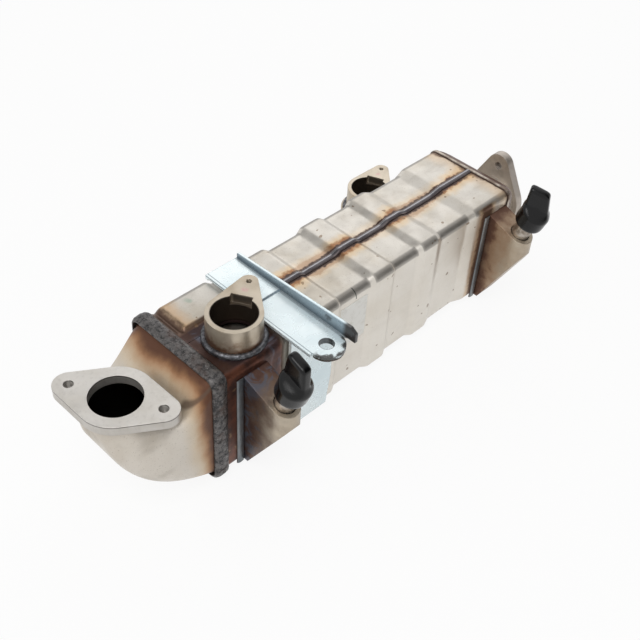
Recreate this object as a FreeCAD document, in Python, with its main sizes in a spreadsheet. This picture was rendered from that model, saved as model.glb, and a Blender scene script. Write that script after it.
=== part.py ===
"""EGR cooler: two stamped shell halves round a bundle of flat gas tubes.

Row frame: the origin is the centre of the front gas flange's face, +Z points out of that
flange, +X runs along the shell to the rear flange, and +Y is the side of the rear coolant port.
The core frame used inside most bodies has x = 0 at the front shell weld and z = 0 on the
shell's long axis; the body's Placement moves it into the row frame.
"""
import FreeCAD, Part
import Sketcher
import math
import os

os.makedirs("parts", exist_ok=True)
doc = FreeCAD.newDocument("egr_cooler")
Vector = FreeCAD.Vector

# Driving dimensions in millimetres and degrees
SIZES = [
    ("inlet_reach", 63.5, "front flange centre ahead of the shell"),
    ("inlet_rise", 46.0, "front flange face above the shell axis"),
    ("outlet_reach", 51.0, "rear flange face beyond the shell"),
    ("outlet_rise", 8.0, "rear flange centre above the shell axis"),
    ("outlet_shift", 6.0, "rear flange centre to the right of the seam"),
    ("half_width", 50.0, "shell, half width over raised bands"),
    ("half_height", 58.3, "shell, half height over raised bands"),
    ("corner_round", 7.0, "shell, outside corner radius"),
    ("sheet_wall", 1.5, "shell and hood sheet thickness"),
    ("band_step", 2.8, "depth of the recessed bands"),
    ("end_land", 3.0, "full section at the front weld"),
    ("groove_depth", 3.4, "depth of the front panel groove"),
    ("lip_depth", 1.0, "depth of the lip ahead of the groove"),
    ("panel_edge", 13.0, "front panel's edge from the seam"),
    ("panel_ramp", 2.0, "half run of the front panel's edge"),
    ("header_front", 66.0, "length of the front header"),
    ("fall_run", 5.0, "run of a falling band slope"),
    ("rise_run", 8.5, "run of a rising band slope"),
    ("header_ramp", 14.5, "run of the slope up to the rear header"),
    ("recess_a", 27.0, "recessed band under the bracket"),
    ("raised_a", 27.0, "first raised band"),
    ("recess_b", 36.0, "second recessed band"),
    ("raised_b", 21.0, "second raised band"),
    ("recess_c", 30.5, "third recessed band"),
    ("raised_c", 18.0, "third raised band"),
    ("recess_d", 38.0, "fourth recessed band"),
    ("header_rear", 48.0, "length of the rear header"),
    ("seam_gap", 0.2, "half gap between the shell halves"),
    ("face_gap", 0.05, "gap left between brazed or welded faces"),
    ("seam_width", 7.5, "seam weld width"),
    ("seam_crown", 2.2, "seam weld height"),
    ("duct_wall", 2.0, "diffuser wall"),
    ("duct_round", 26.0, "outer radius of the diffuser necks"),
    ("duct_swell", 2.0, "swell of the front diffuser beyond its neck"),
    ("duct_swing", 1.6, "how late the front diffuser reaches forward"),
    ("duct_sink", 0.8, "how early the front diffuser's floor rises"),
    ("duct_squeeze", 5.0, "how late the front diffuser narrows"),
    ("duct_lead", 0.75, "how early the front diffuser's roof reaches forward"),
    ("duct_ease", 0.7, "how early the front diffuser's corners soften"),
    ("duct_dive", 8.0, "dip of the front diffuser's roof below the flange"),
    ("duct_lean", 1.5, "extra inset of the bore's roof where its sections lean"),
    ("gas_bore", 22.0, "radius of the flange bores"),
    ("flange_round", 32.0, "flange, middle radius"),
    ("lobe_round", 13.0, "flange, lobe radius"),
    ("bolt_half", 40.0, "flange bolt hole from the bore axis"),
    ("bolt_hole", 4.25, "flange tapped hole radius"),
    ("flange_plate", 9.0, "flange thickness"),
    ("inlet_turn", 119.0, "front flange bolt line from +X"),
    ("front_bead", 15.0, "front shell weld width"),
    ("front_lead", 9.0, "front shell weld ahead of the shell's end"),
    ("front_crown", 4.2, "front shell weld height"),
    ("rear_bead", 5.0, "rear shell weld width"),
    ("rear_crown", 1.4, "rear shell weld height"),
    ("port_bore", 19.6, "coolant spigot bore radius"),
    ("port_rim", 24.0, "coolant spigot outer radius"),
    ("port_rise", 26.5, "coolant spigot height"),
    ("port_passage", 18.0, "hole in the sheet below a coolant spigot"),
    ("ear_reach", 40.0, "spigot ear hole from the bore axis"),
    ("ear_round", 8.0, "spigot ear radius"),
    ("ear_plate", 9.0, "spigot ear thickness"),
    ("ear_hole", 2.5, "spigot ear tapped hole radius"),
    ("key_half", 9.5, "half width of the notch in the spigot rim"),
    ("key_depth", 2.2, "depth of the notch into the rim"),
    ("key_drop", 9.0, "height of the notch"),
    ("port_weld", 4.5, "spigot weld size"),
    ("port_front_x", 42.0, "front spigot from the front weld"),
    ("port_front_y", 19.0, "front spigot to the right of the seam"),
    ("port_front_turn", 31.0, "front spigot ear from +X"),
    ("port_rear_back", 24.0, "rear spigot ahead of the shell's rear end"),
    ("port_rear_y", 108.5, "rear spigot to the left of the seam"),
    ("port_rear_drop", 10.6, "rear spigot rim below the shell axis"),
    ("port_rear_turn", 23.0, "rear spigot ear from +X"),
    ("port_hood_round", 29.5, "rear spigot hood radius"),
    ("port_hood_root", 21.0, "rear spigot hood half width at the shell"),
    ("port_hood_deep", 19.0, "rear spigot hood height"),
    ("hood_edge", 24.0, "front vent hood from the front weld"),
    ("hood_edge_rear", 29.0, "rear vent hood ahead of the shell's rear end"),
    ("hood_round", 13.0, "vent hood nose radius, half its length along the shell"),
    ("hood_foot", 58.0, "vent hood foot below the shell axis"),
    ("hood_foot_out", 5.0, "vent hood foot out from the shell side"),
    ("hood_head", 45.0, "vent hood head above the shell axis"),
    ("hood_nose_deep", 12.0, "vent hood nose height"),
    ("hood_weld", 10.0, "vent hood weld width"),
    ("hood_weld_crown", 2.0, "vent hood weld height"),
    ("vent_tilt", 20.0, "vent nipple tilt outward"),
    ("vent_out_front", 35.0, "front vent nipple from the shell side"),
    ("vent_out_rear", 30.0, "rear vent nipple from the shell side"),
    ("vent_round", 9.0, "vent nipple outer radius"),
    ("vent_bore", 7.0, "vent nipple bore radius"),
    ("vent_height", 29.0, "vent nipple height above the hood"),
    ("cap_round", 14.5, "rubber cap radius"),
    ("cap_lift", 18.0, "rubber cap's lower edge above the hood"),
    ("cap_height", 18.0, "rubber cap height without its tab"),
    ("cap_fit", 0.1, "gap between cap and nipple"),
    ("tab_root", 26.0, "pull tab width at the cap"),
    ("tab_tip", 20.0, "pull tab width at its tip"),
    ("tab_thick", 10.0, "pull tab thickness"),
    ("tab_height", 24.0, "pull tab height above the cap"),
    ("tab_corner", 4.0, "pull tab corner"),
    ("tab_back_front", 7.0, "front pull tab's tip back towards the shell"),
    ("tab_back_rear", 9.0, "rear pull tab's tip back towards the shell"),
    ("plate_start", 68.0, "bracket plate from the front weld"),
    ("plate_run", 36.0, "bracket plate along the shell"),
    ("plate_sheet", 3.0, "bracket sheet thickness"),
    ("plate_lift", 0.8, "bracket plate above the raised bands"),
    ("plate_joggle", 1.6, "rise of the bracket's left part"),
    ("plate_left", 48.0, "bracket plate's left end from the seam"),
    ("plate_hole_y", 80.0, "bracket bolt hole from the seam"),
    ("plate_hole_x", 19.0, "bracket bolt hole from the plate's front edge"),
    ("plate_hole", 6.5, "bracket bolt hole radius"),
    ("plate_round", 16.0, "bracket end radius"),
    ("flange_rise", 13.0, "bracket rear flange height"),
    ("flange_rise_left", 4.0, "bracket rear flange height at its left end"),
    ("flange_end", 95.0, "bracket rear flange's right end from the seam"),
    ("leg_start", 74.0, "bracket leg from the front weld"),
    ("leg_run", 48.0, "bracket leg along the shell"),
    ("leg_foot", 56.5, "bracket leg foot below the shell axis"),
    ("tube_count", 8, "number of gas tubes"),
    ("tube_margin", 12.1, "outer gas tube's middle below the shell's raised height"),
    ("tube_half", 42.0, "gas tube half width"),
    ("tube_high", 4.4, "gas tube half height"),
    ("tube_wall", 0.6, "gas tube wall"),
    ("header_plate", 3.0, "tube plate thickness"),
    ("header_inset", 15.5, "tube plate inset from the shell's ends"),
    ("fit_gap", 0.15, "gap round tubes and plates before brazing"),
    ("fin_count", 8, "waves in a tube fin"),
    ("fin_sheet", 0.35, "fin sheet thickness"),
    ("fin_inset", 12.0, "fin set back from the tube ends"),
    ("baffle_sheet", 1.5, "baffle thickness"),
    ("label_length", 34.0, "label along the shell"),
    ("label_high", 48.0, "label height"),
    ("label_top", 43.0, "label's upper edge above the shell axis"),
    ("label_sheet", 0.25, "label thickness"),
    ("label_inset", 1.0, "label from the start of its band"),
    ("over_cut", 1.0, "how far a cut runs past a face"),
    ("bead_shoulder", 0.62, "share of a bead's half width where it levels off"),
    ("bead_flat", 0.22, "share of a bead's half width that is flat"),
    ("bead_lift", 0.75, "share of a bead's height at its shoulder"),
    ("weld_chamfer", 0.6, "share of a fillet weld at its middle"),
    ("tube_bevel", 0.6, "bevel of a gas tube as a share of its half height"),
    ("fin_flat", 0.3, "share of a fin's wave that is flat"),
    ("fin_lean", 0.2, "share of a fin's wave that slopes"),
    ("fin_bend", 0.8, "inner bend of a fin as a share of its sheet"),
    ("baffle_inset", 8.0, "baffle from the end of its band"),
    ("hollow_foot", 4.0, "vent hood hollow above its foot"),
    ("hollow_nose", 0.25, "vent hood hollow past the nipple as a share of the nose"),
    ("flange_miter", 6.0, "run of the mitre on the bracket flange's end"),
    ("flange_drop", 4.0, "drop of the mitre on the bracket flange's end"),
    ("tongue_edge", 3.0, "bracket tongue's edge inside the plate's round end"),
    ("leg_lead", 6.0, "bracket plate's rear edge behind the tongue"),
    ("leg_flare", 4.0, "flare of the bracket leg towards the rear"),
    ("leg_flare_low", 0.7, "share of the leg's height where the flare starts"),
    ("leg_flare_high", 0.35, "share of the leg's height where the flare ends"),
    ("end_slant", 8.0, "slant of the bracket plate's end towards the flange"),
]

sheet = doc.addObject("Spreadsheet::Sheet", "sizes")
VALUE = {}
for row, (name, number, note) in enumerate(SIZES, start=1):
    sheet.set("A%d" % row, note)
    sheet.set("B%d" % row, str(number))
    sheet.setAlias("B%d" % row, name)
    VALUE[name] = number
doc.recompute()


class Dim:
    """A size that carries its number and the expression that gives it."""

    def __init__(self, value, text):
        self.value = value
        self.text = text

    def __add__(self, other):
        other = dim(other)
        return Dim(self.value + other.value, "(%s + %s)" % (self.text, other.text))

    def __sub__(self, other):
        other = dim(other)
        return Dim(self.value - other.value, "(%s - %s)" % (self.text, other.text))

    def __mul__(self, other):
        other = dim(other)
        return Dim(self.value * other.value, "(%s * %s)" % (self.text, other.text))

    def __truediv__(self, other):
        other = dim(other)
        return Dim(self.value / other.value, "(%s / %s)" % (self.text, other.text))

    def __neg__(self):
        return Dim(-self.value, "(0 - %s)" % self.text)

    def power(self, exponent):
        return Dim(self.value ** exponent, "(%s ^ %g)" % (self.text, exponent))

    def tangent(self):
        """Tangent of an angle in degrees."""
        return Dim(math.tan(math.radians(self.value)), "tan(%s * 1 deg)" % self.text)


def dim(value):
    """Give a named size, a plain number or a Dim as a Dim."""
    if isinstance(value, Dim):
        return value
    if isinstance(value, str):
        return Dim(VALUE[value], "sizes." + value)
    return Dim(value, "%.6g" % value)


ZERO = dim(0)
LEAST_CUT = 0.01
LEAST_BEND = 1e-6


def bind(item, path, size):
    """Bind a property of a document object to a size."""
    item.setExpression(path, dim(size).text)


def origin_plane(body, role):
    """Find one of a body's own origin planes."""
    for feature in body.Origin.OriginFeatures:
        if feature.Role == role:
            return feature
    raise ValueError(role)


def place(body, x=ZERO, y=ZERO, z=ZERO, axis=None, turn=None):
    """Seat a body in the row frame, turned about an axis through its origin."""
    if axis is not None:
        body.Placement = FreeCAD.Placement(Vector(), FreeCAD.Rotation(axis, dim(turn).value))
        body.setExpression("Placement.Rotation.Angle", "%s * 1 deg" % dim(turn).text)
    bind(body, "Placement.Base.x", x)
    bind(body, "Placement.Base.y", y)
    bind(body, "Placement.Base.z", z)


def new_body(label, x=ZERO, y=ZERO, z=ZERO, axis=None, turn=None):
    """Start a body whose own frame sits at a point of the core frame."""
    body = doc.addObject("PartDesign::Body", label)
    body.Label = label
    place(body, dim(x) + "inlet_reach", y, dim(z) - "inlet_rise", axis, turn)
    return body


def new_sketch(body, name, role="XY_Plane", offset=ZERO, shift=None):
    """Start a sketch on an origin plane, raised by offset along the plane's normal."""
    sketch = body.newObject("Sketcher::SketchObject", name)
    sketch.AttachmentSupport = [(origin_plane(body, role), "")]
    sketch.MapMode = "FlatFace"
    bind(sketch, "AttachmentOffset.Base.z", offset)
    if shift is not None:
        bind(sketch, "AttachmentOffset.Base.x", shift[0])
        bind(sketch, "AttachmentOffset.Base.y", shift[1])
    return sketch


def add_held(sketch, rows):
    """Add a list of (constraint, size) rows at once and bind those that carry a size."""
    first = sketch.ConstraintCount
    sketch.addConstraint([row[0] for row in rows])
    for number, row in enumerate(rows):
        if row[1] is not None:
            name = "c%d" % (first + number)
            sketch.renameConstraint(first + number, name)
            bind(sketch, "Constraints." + name, row[1])


def coordinate(kind, geometry, position, size):
    """Give the row that holds one coordinate of a point, or puts it on the axis."""
    if size.text == "0":
        axis = -2 if kind == "DistanceX" else -1
        return (Sketcher.Constraint("PointOnObject", geometry, position, axis), None)
    return (Sketcher.Constraint(kind, geometry, position, size.value), size)


def radius_row(geometry, radius):
    return (Sketcher.Constraint("Radius", geometry, radius.value), radius)


def arc_row(geometry, corner, following):
    """Hold an arc by its radius, or a half circle by its centre's place on the chord."""
    run = following[0].value - corner[0].value
    rise = following[1].value - corner[1].value
    if abs(math.hypot(run, rise) / 2 - corner[2].value) > LEAST_BEND:
        return radius_row(geometry, corner[2])
    if abs(run) < abs(rise):
        return coordinate("DistanceX", geometry, 3, corner[0])
    return coordinate("DistanceY", geometry, 3, corner[1])


def draw_loop(sketch, corners):
    """Draw a closed loop from corners (x, y) or (x, y, radius, bend).

    A corner with a radius starts an arc that runs to the next corner; bend is 1 where the
    arc turns left on the way and -1 where it turns right.
    """
    base = sketch.GeometryCount
    count = len(corners)
    ends = []
    for number, corner in enumerate(corners):
        following = corners[(number + 1) % count]
        start = Vector(corner[0].value, corner[1].value, 0)
        stop = Vector(following[0].value, following[1].value, 0)
        if len(corner) == 2:
            sketch.addGeometry(Part.LineSegment(start, stop), False)
            ends.append((1, 2))
            continue
        radius, bend = corner[2], corner[3]
        middle = (start + stop) * 0.5
        chord = stop - start
        reach = math.sqrt(max(radius.value ** 2 - (chord.Length / 2) ** 2, 0.0))
        left = Vector(-chord.y, chord.x, 0).normalize()
        centre = middle + left * reach * bend
        first, last = (start, stop) if bend > 0 else (stop, start)
        begin = math.atan2(first.y - centre.y, first.x - centre.x)
        finish = math.atan2(last.y - centre.y, last.x - centre.x)
        if finish < begin:
            finish += 2 * math.pi
        circle = Part.Circle(centre, Vector(0, 0, 1), radius.value)
        sketch.addGeometry(Part.ArcOfCircle(circle, begin, finish), False)
        ends.append((1, 2) if bend > 0 else (2, 1))
    rows = []
    for number, corner in enumerate(corners):
        geometry = base + number
        follower = (number + 1) % count
        rows.append((Sketcher.Constraint(
            "Coincident", geometry, ends[number][1], base + follower, ends[follower][0]), None))
        rows.append(coordinate("DistanceX", geometry, ends[number][0], corner[0]))
        rows.append(coordinate("DistanceY", geometry, ends[number][0], corner[1]))
        if len(corner) > 2:
            rows.append(arc_row(geometry, corner, corners[follower]))
    add_held(sketch, rows)


def draw_box(sketch, left, right, low, high):
    """Draw a rectangle between four coordinates."""
    left, right, low, high = dim(left), dim(right), dim(low), dim(high)
    draw_loop(sketch, [(left, low), (right, low), (right, high), (left, high)])


def draw_round_box(sketch, left, right, low, high, radius):
    """Draw a rectangle with rounded corners."""
    left, right, low, high = dim(left), dim(right), dim(low), dim(high)
    radius = dim(radius)
    draw_loop(sketch, [
        (left + radius, low), (right - radius, low, radius, 1),
        (right, low + radius), (right, high - radius, radius, 1),
        (right - radius, high), (left + radius, high, radius, 1),
        (left, high - radius), (left, low + radius, radius, 1),
    ])


def draw_circle(sketch, x, y, radius):
    """Draw a circle about a point."""
    x, y, radius = dim(x), dim(y), dim(radius)
    circle = Part.Circle(Vector(x.value, y.value, 0), Vector(0, 0, 1), radius.value)
    index = sketch.addGeometry(circle, False)
    add_held(sketch, [
        coordinate("DistanceX", index, 3, x), coordinate("DistanceY", index, 3, y),
        radius_row(index, radius),
    ])


def add_pad(body, sketch, length, name, reverse=False):
    pad = body.newObject("PartDesign::Pad", name)
    pad.Profile = sketch
    pad.Length = dim(length).value
    bind(pad, "Length", length)
    pad.Reversed = reverse
    return pad


def add_pocket(body, sketch, length, name, reverse=False):
    """Cut a pocket and check that it took material away."""
    base = body.Tip
    pocket = body.newObject("PartDesign::Pocket", name)
    pocket.Profile = sketch
    pocket.Length = dim(length).value
    bind(pocket, "Length", length)
    pocket.Reversed = reverse
    doc.recompute()
    if pocket.Shape.Volume > base.Shape.Volume - LEAST_CUT:
        raise ValueError("pocket %s of %s cuts nothing" % (name, body.Label))
    return pocket


def add_loft(body, sketches, name):
    """Join sections with straight faces."""
    loft = body.newObject("PartDesign::AdditiveLoft", name)
    loft.Profile = sketches[0]
    loft.Sections = sketches[1:]
    loft.Ruled = True
    return loft


def add_revolution(body, sketch, name):
    """Turn a sketch about its own vertical axis."""
    turned = body.newObject("PartDesign::Revolution", name)
    turned.Profile = sketch
    turned.ReferenceAxis = (sketch, ["V_Axis"])
    turned.Angle = 360
    return turned


# Stations along the shell, each the sum of the runs before it
def stations():
    """Give each band edge's distance from the front weld."""
    runs = [
        ("header_end", "header_front"), ("recess_a_start", "fall_run"),
        ("recess_a_end", "recess_a"), ("raised_a_start", "rise_run"),
        ("raised_a_end", "raised_a"), ("recess_b_start", "fall_run"),
        ("recess_b_end", "recess_b"), ("raised_b_start", "rise_run"),
        ("raised_b_end", "raised_b"), ("recess_c_start", "fall_run"),
        ("recess_c_end", "recess_c"), ("raised_c_start", "rise_run"),
        ("raised_c_end", "raised_c"), ("recess_d_start", "rise_run"),
        ("recess_d_end", "recess_d"), ("header_start", "header_ramp"),
        ("shell_end", "header_rear"),
    ]
    total = None
    table = {}
    for key, run in runs:
        total = dim(run) if total is None else total + run
        table[key] = total
    return table


AT = stations()
BAND_EDGES = [
    ("recess_a_start", 1), ("recess_a_end", 1), ("raised_a_start", 0), ("raised_a_end", 0),
    ("recess_b_start", 1), ("recess_b_end", 1), ("raised_b_start", 0), ("raised_b_end", 0),
    ("recess_c_start", 1), ("recess_c_end", 1), ("raised_c_start", 0), ("raised_c_end", 0),
    ("recess_d_start", 1), ("recess_d_end", 1), ("header_start", 0), ("shell_end", 0),
]


def half_section(body, number, station, inner, outer, side, hand):
    """Draw one C-shaped section of a shell half.

    inner is how far the top lies below the raised height beside the seam, outer the same
    beyond the front panel's edge, and side the same for the flank and the underside.
    """
    sketch = new_sketch(body, "%s_section_%02d" % (body.Name, number), "YZ_Plane", station)
    wall = dim("sheet_wall")
    radius = dim("corner_round")
    flank = dim("half_width") - side
    near_top = dim("half_height") - inner
    far_top = dim("half_height") - outer
    floor = -(dim("half_height") - side)
    step_in = dim("panel_edge") - "panel_ramp"
    step_out = dim("panel_edge") + "panel_ramp"
    seam = dim("seam_gap")
    corners = [
        (seam, floor), (flank - radius, floor, radius, 1),
        (flank, floor + radius), (flank, far_top - radius, radius, 1),
        (flank - radius, far_top), (step_out, far_top), (step_in, near_top),
        (seam, near_top), (seam, near_top - wall),
        (step_in, near_top - wall), (step_out, far_top - wall),
        (flank - radius, far_top - wall),
        (flank - wall, far_top - radius), (flank - wall, floor + radius),
        (flank - radius, floor + wall), (seam, floor + wall),
    ]
    if hand < 0:
        mirrored = []
        for corner in corners:
            flipped = (-corner[0],) + tuple(corner[1:])
            if len(flipped) > 2:
                flipped = flipped[:3] + (-flipped[3],)
            mirrored.append(flipped)
        corners = mirrored
    draw_loop(sketch, corners)
    return sketch


def shell_half(label, hand):
    """Build one stamped shell half, hand 1 for +Y and -1 for -Y."""
    body = new_body(label)
    step = dim("band_step")
    rows = [(ZERO, ZERO, ZERO, ZERO), (dim("end_land"), ZERO, ZERO, ZERO)]
    if hand > 0:
        lip, groove = dim("lip_depth"), dim("groove_depth")
        start = dim("end_land") + "fall_run"
        rows.append((start, step, lip, ZERO))
        rows.append((start + dim("fall_run") * 0.5, step, groove, ZERO))
        rows.append((start + dim("fall_run"), step, groove, ZERO))
        rows.append((start + dim("fall_run") * 1.8, step, ZERO, ZERO))
        rows.append((AT["header_end"], step, ZERO, ZERO))
    else:
        rows.append((dim("end_land") + "fall_run", step, step, ZERO))
        rows.append((AT["header_end"], step, step, ZERO))
    for key, level in BAND_EDGES:
        depth = step * level if level else ZERO
        rows.append((AT[key], depth, depth, depth))
    sections = []
    for number, (station, inner, outer, side) in enumerate(rows):
        sections.append(half_section(body, number, station, inner, outer, side, hand))
    add_loft(body, sections, label + "_stamping")
    return body


def shell_windows(left, right):
    """Cut the coolant and vent passages through the two shell halves."""
    through = dim("sheet_wall") * 4
    top = new_sketch(right, "port_window", "XY_Plane", dim("half_height") + "face_gap")
    draw_circle(top, "port_front_x", -dim("port_front_y"), "port_passage")
    add_pocket(right, top, dim("band_step") + through, "port_passage_cut")
    for name, start in (("front", dim("hood_edge")), ("rear", REAR_HOOD)):
        window = new_sketch(right, "vent_window_" + name, "XZ_Plane", dim("half_width") + "face_gap")
        rim = dim("sheet_wall") * 2
        draw_box(window, start + rim, start + dim("hood_round") * 2 - rim,
                 rim - "hood_foot" + "corner_round", dim("hood_head") - rim)
        add_pocket(right, window, through, "vent_passage_" + name)
    side = new_sketch(left, "port_window", "XZ_Plane", -dim("half_width") - "face_gap")
    reach = dim("port_hood_root") - "port_weld"
    roof = -dim("port_rear_drop") - "port_rise"
    draw_box(side, REAR_PORT - reach, REAR_PORT + reach,
             roof - "port_hood_deep" + dim("sheet_wall") * 2, roof - dim("sheet_wall") * 2)
    add_pocket(left, side, through, "port_passage_cut", reverse=True)


def seam_weld(label, hand):
    """Lay the long seam weld over the bands, hand 1 on the top and -1 underneath."""
    body = new_body(label)
    step = dim("band_step")
    half = dim("seam_width") / 2
    front = dim("front_bead") - "front_lead" + "face_gap"
    rear = AT["shell_end"] - dim("rear_bead") / 2 - "face_gap"
    edges = [(AT["header_end"], 1)] if hand > 0 else [(front, 0), (AT["header_end"], 0)]
    edges += [(AT[key], level) for key, level in BAND_EDGES[:-1]]
    edges.append((rear, 0))
    sections = []
    for number, (station, level) in enumerate(edges):
        sketch = new_sketch(body, "%s_section_%02d" % (label, number), "YZ_Plane", station)
        depth = step * level if level else ZERO
        root = (dim("half_height") - depth + "face_gap") * hand
        crown = dim("seam_crown") * hand
        shoulder = half * "bead_shoulder" * hand
        flat = half * "bead_flat" * hand
        draw_loop(sketch, [
            (-half * hand, root), (half * hand, root),
            (shoulder, root + crown * "bead_lift"), (flat, root + crown),
            (-flat, root + crown), (-shoulder, root + crown * "bead_lift"),
        ])
        sections.append(sketch)
    add_loft(body, sections, label + "_bead")
    return body


# Share of a frame weld's width and of its height at each of its sections
BEAD_STEPS = ((0.02, 0.3), (0.25, 1.0), (0.75, 1.0), (0.98, 0.3))


def frame_weld(label, start, width, crown):
    """Lay a crowned weld round the shell's rounded section."""
    body = new_body(label)
    wide, high, bend = dim("half_width"), dim("half_height"), dim("corner_round")
    width, crown = dim(width), dim(crown)
    sections = []
    for number, (along, lift) in enumerate(BEAD_STEPS):
        sketch = new_sketch(body, "%s_outline_%d" % (label, number), "YZ_Plane",
                            start + width * along)
        skin = crown * lift
        draw_round_box(sketch, -(wide + skin), wide + skin, -(high + skin), high + skin, bend)
        sections.append(sketch)
    add_loft(body, sections, label + "_ring")
    bore = new_sketch(body, label + "_inside", "YZ_Plane", start)
    gap = dim("face_gap")
    draw_round_box(bore, -(wide + gap), wide + gap, -(high + gap), high + gap, bend + gap)
    add_pocket(body, bore, width, label + "_opening", reverse=True)
    return body


def oval_outline(sketch, middle, lobe, half):
    """Draw a two-lobed flange outline about the sketch's origin."""
    middle, lobe, half = dim(middle), dim(lobe), dim(half)
    slope = (middle - lobe) / half
    lean = (dim(1) - slope * slope).power(0.5)
    big_x, big_y = middle * slope, middle * lean
    small_x, small_y = half + lobe * slope, lobe * lean
    draw_loop(sketch, [
        (small_x, -small_y, lobe, 1), (small_x, small_y),
        (big_x, big_y, middle, 1), (-big_x, big_y),
        (-small_x, small_y, lobe, 1), (-small_x, -small_y),
        (-big_x, -big_y, middle, 1), (big_x, -big_y),
    ])


def gas_flange(label, x, y, z, axis, turn):
    """Build a two-bolt gas flange whose face is at its origin, facing its own +Z."""
    body = new_body(label, x, y, z, axis, turn)
    plate = new_sketch(body, label + "_plan", "XY_Plane", -dim("flange_plate"))
    oval_outline(plate, "flange_round", "lobe_round", "bolt_half")
    add_pad(body, plate, "flange_plate", label + "_plate")
    bore = new_sketch(body, label + "_bore")
    draw_circle(bore, ZERO, ZERO, "gas_bore")
    add_pocket(body, bore, "flange_plate", label + "_gas_bore")
    for side in (1, -1):
        hole = new_sketch(body, "%s_hole_%s" % (label, "ab"[side < 0]))
        draw_circle(hole, dim("bolt_half") * side, ZERO, "bolt_hole")
        add_pocket(body, hole, "flange_plate", "%s_tapping_%s" % (label, "ab"[side < 0]))
    return body


def duct_wire(points):
    """Close a wire of short flats through a list of points."""
    return Part.makePolygon(points + points[:1])


def duct_corners(wide, high, bend):
    """Give a box outline whose rounded corners are runs of short flats."""
    flats = 5
    corners = []
    for across, up, first in ((1, -1, -90), (1, 1, 0), (-1, 1, 90), (-1, -1, 180)):
        for number in range(flats + 1):
            angle = math.radians(first + 90 * number / flats)
            corners.append(((wide - bend) * across + bend * math.cos(angle),
                            (high - bend) * up + bend * math.sin(angle)))
    return corners


def elbow_sections(shrink):
    """Give the front duct's sections on planes that swing from the shell to the flange."""
    neck = VALUE["duct_round"]
    roof = VALUE["half_height"]
    seat = VALUE["inlet_rise"] - VALUE["flange_plate"] - VALUE["face_gap"]
    inner_x = -(VALUE["inlet_reach"] - neck)
    outer_x = -(VALUE["inlet_reach"] + neck)
    count = 7
    wires = []
    for number in range(count + 1):
        share = number / count
        quarter = math.pi / 2 * share
        swing = math.sin(quarter) ** VALUE["duct_swing"]
        sink = 1 - math.cos(quarter) ** VALUE["duct_sink"]
        squeeze = share ** VALUE["duct_squeeze"]
        swell = VALUE["duct_swell"] * math.sin(2 * quarter) ** 2
        dip = VALUE["duct_dive"] * math.sin(math.pi * share ** 2)
        top = Vector(inner_x * share ** VALUE["duct_lead"], 0, roof + (seat - roof) * share - dip)
        bottom = Vector(outer_x * swing - swell, 0, -roof + (seat + roof) * sink)
        half = VALUE["half_width"] * (1 - squeeze) + neck * squeeze
        ease = share ** VALUE["duct_ease"]
        bend = VALUE["corner_round"] * (1 - ease) + (neck - VALUE["face_gap"]) * ease
        rise = (top - bottom).normalize()
        top -= rise * shrink * (1 + VALUE["duct_lean"] * math.sin(math.pi * share))
        bottom += rise * shrink
        high = (top - bottom).Length / 2
        middle = (top + bottom) * 0.5
        wires.append(duct_wire([
            middle + Vector(0, 1, 0) * across + rise * up
            for across, up in duct_corners(half - shrink, high, bend - shrink)]))
    return wires


def cone_sections(shrink):
    """Give the rear duct's sections from the shell's end to the rear flange."""
    neck = VALUE["duct_round"]
    length = VALUE["outlet_reach"] - VALUE["flange_plate"] - VALUE["face_gap"]
    count = 6
    wires = []
    for number in range(count + 1):
        share = number / count
        blend = (1 - math.cos(math.pi * share)) / 2
        high = VALUE["half_height"] * (1 - blend) + neck * blend
        wide = VALUE["half_width"] * (1 - blend) + neck * blend
        bend = VALUE["corner_round"] * (1 - blend) + (neck - VALUE["face_gap"]) * blend
        middle = Vector(AT["shell_end"].value + length * share,
                        -VALUE["outlet_shift"] * blend, VALUE["outlet_rise"] * blend)
        wires.append(duct_wire([
            middle + Vector(0, across, up)
            for across, up in duct_corners(wide - shrink, high - shrink, bend - shrink)]))
    return wires


def gas_duct(label, sections):
    """Build a thin duct between the lofts through its outer and its inner sections."""
    skin = Part.makeLoft(sections(0), True, True)
    bore = Part.makeLoft(sections(VALUE["duct_wall"]), True, True)
    duct = doc.addObject("Part::Feature", label)
    duct.Label = label
    duct.Shape = skin.cut(bore)
    place(duct, dim("inlet_reach"), ZERO, -dim("inlet_rise"))
    return duct


def coolant_spigot(label, x, y, rim, turn):
    """Build a turned coolant spigot with its eared rim; its base is at its origin."""
    body = new_body(label, x, y, rim - "port_rise", Vector(0, 0, 1), turn)
    ring = new_sketch(body, label + "_ring_plan", "XY_Plane", dim("face_gap"))
    draw_circle(ring, ZERO, ZERO, "port_rim")
    add_pad(body, ring, dim("port_rise") - "face_gap", label + "_ring")
    ear = new_sketch(body, label + "_ear_plan", "XY_Plane", dim("port_rise") - "ear_plate")
    big, small, reach = dim("port_rim"), dim("ear_round"), dim("ear_reach")
    slope = (big - small) / reach
    lean = (dim(1) - slope * slope).power(0.5)
    draw_loop(ear, [
        (big * slope, -big * lean), (reach + small * slope, -small * lean, small, 1),
        (reach + small * slope, small * lean), (big * slope, big * lean),
        (ZERO, dim("port_bore")), (ZERO, -dim("port_bore")),
    ])
    add_pad(body, ear, "ear_plate", label + "_ear")
    bore = new_sketch(body, label + "_bore_plan", "XY_Plane", "port_rise")
    draw_circle(bore, ZERO, ZERO, "port_bore")
    add_pocket(body, bore, "port_rise", label + "_bore")
    hole = new_sketch(body, label + "_hole_plan", "XY_Plane", "port_rise")
    draw_circle(hole, "ear_reach", ZERO, "ear_hole")
    add_pocket(body, hole, "ear_plate", label + "_tapping")
    notch = new_sketch(body, label + "_notch_plan", "XY_Plane", "port_rise")
    draw_box(notch, dim("port_bore") / 2, dim("port_bore") + "key_depth",
             -dim("key_half"), "key_half")
    add_pocket(body, notch, "key_drop", label + "_notch")
    return body


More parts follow.
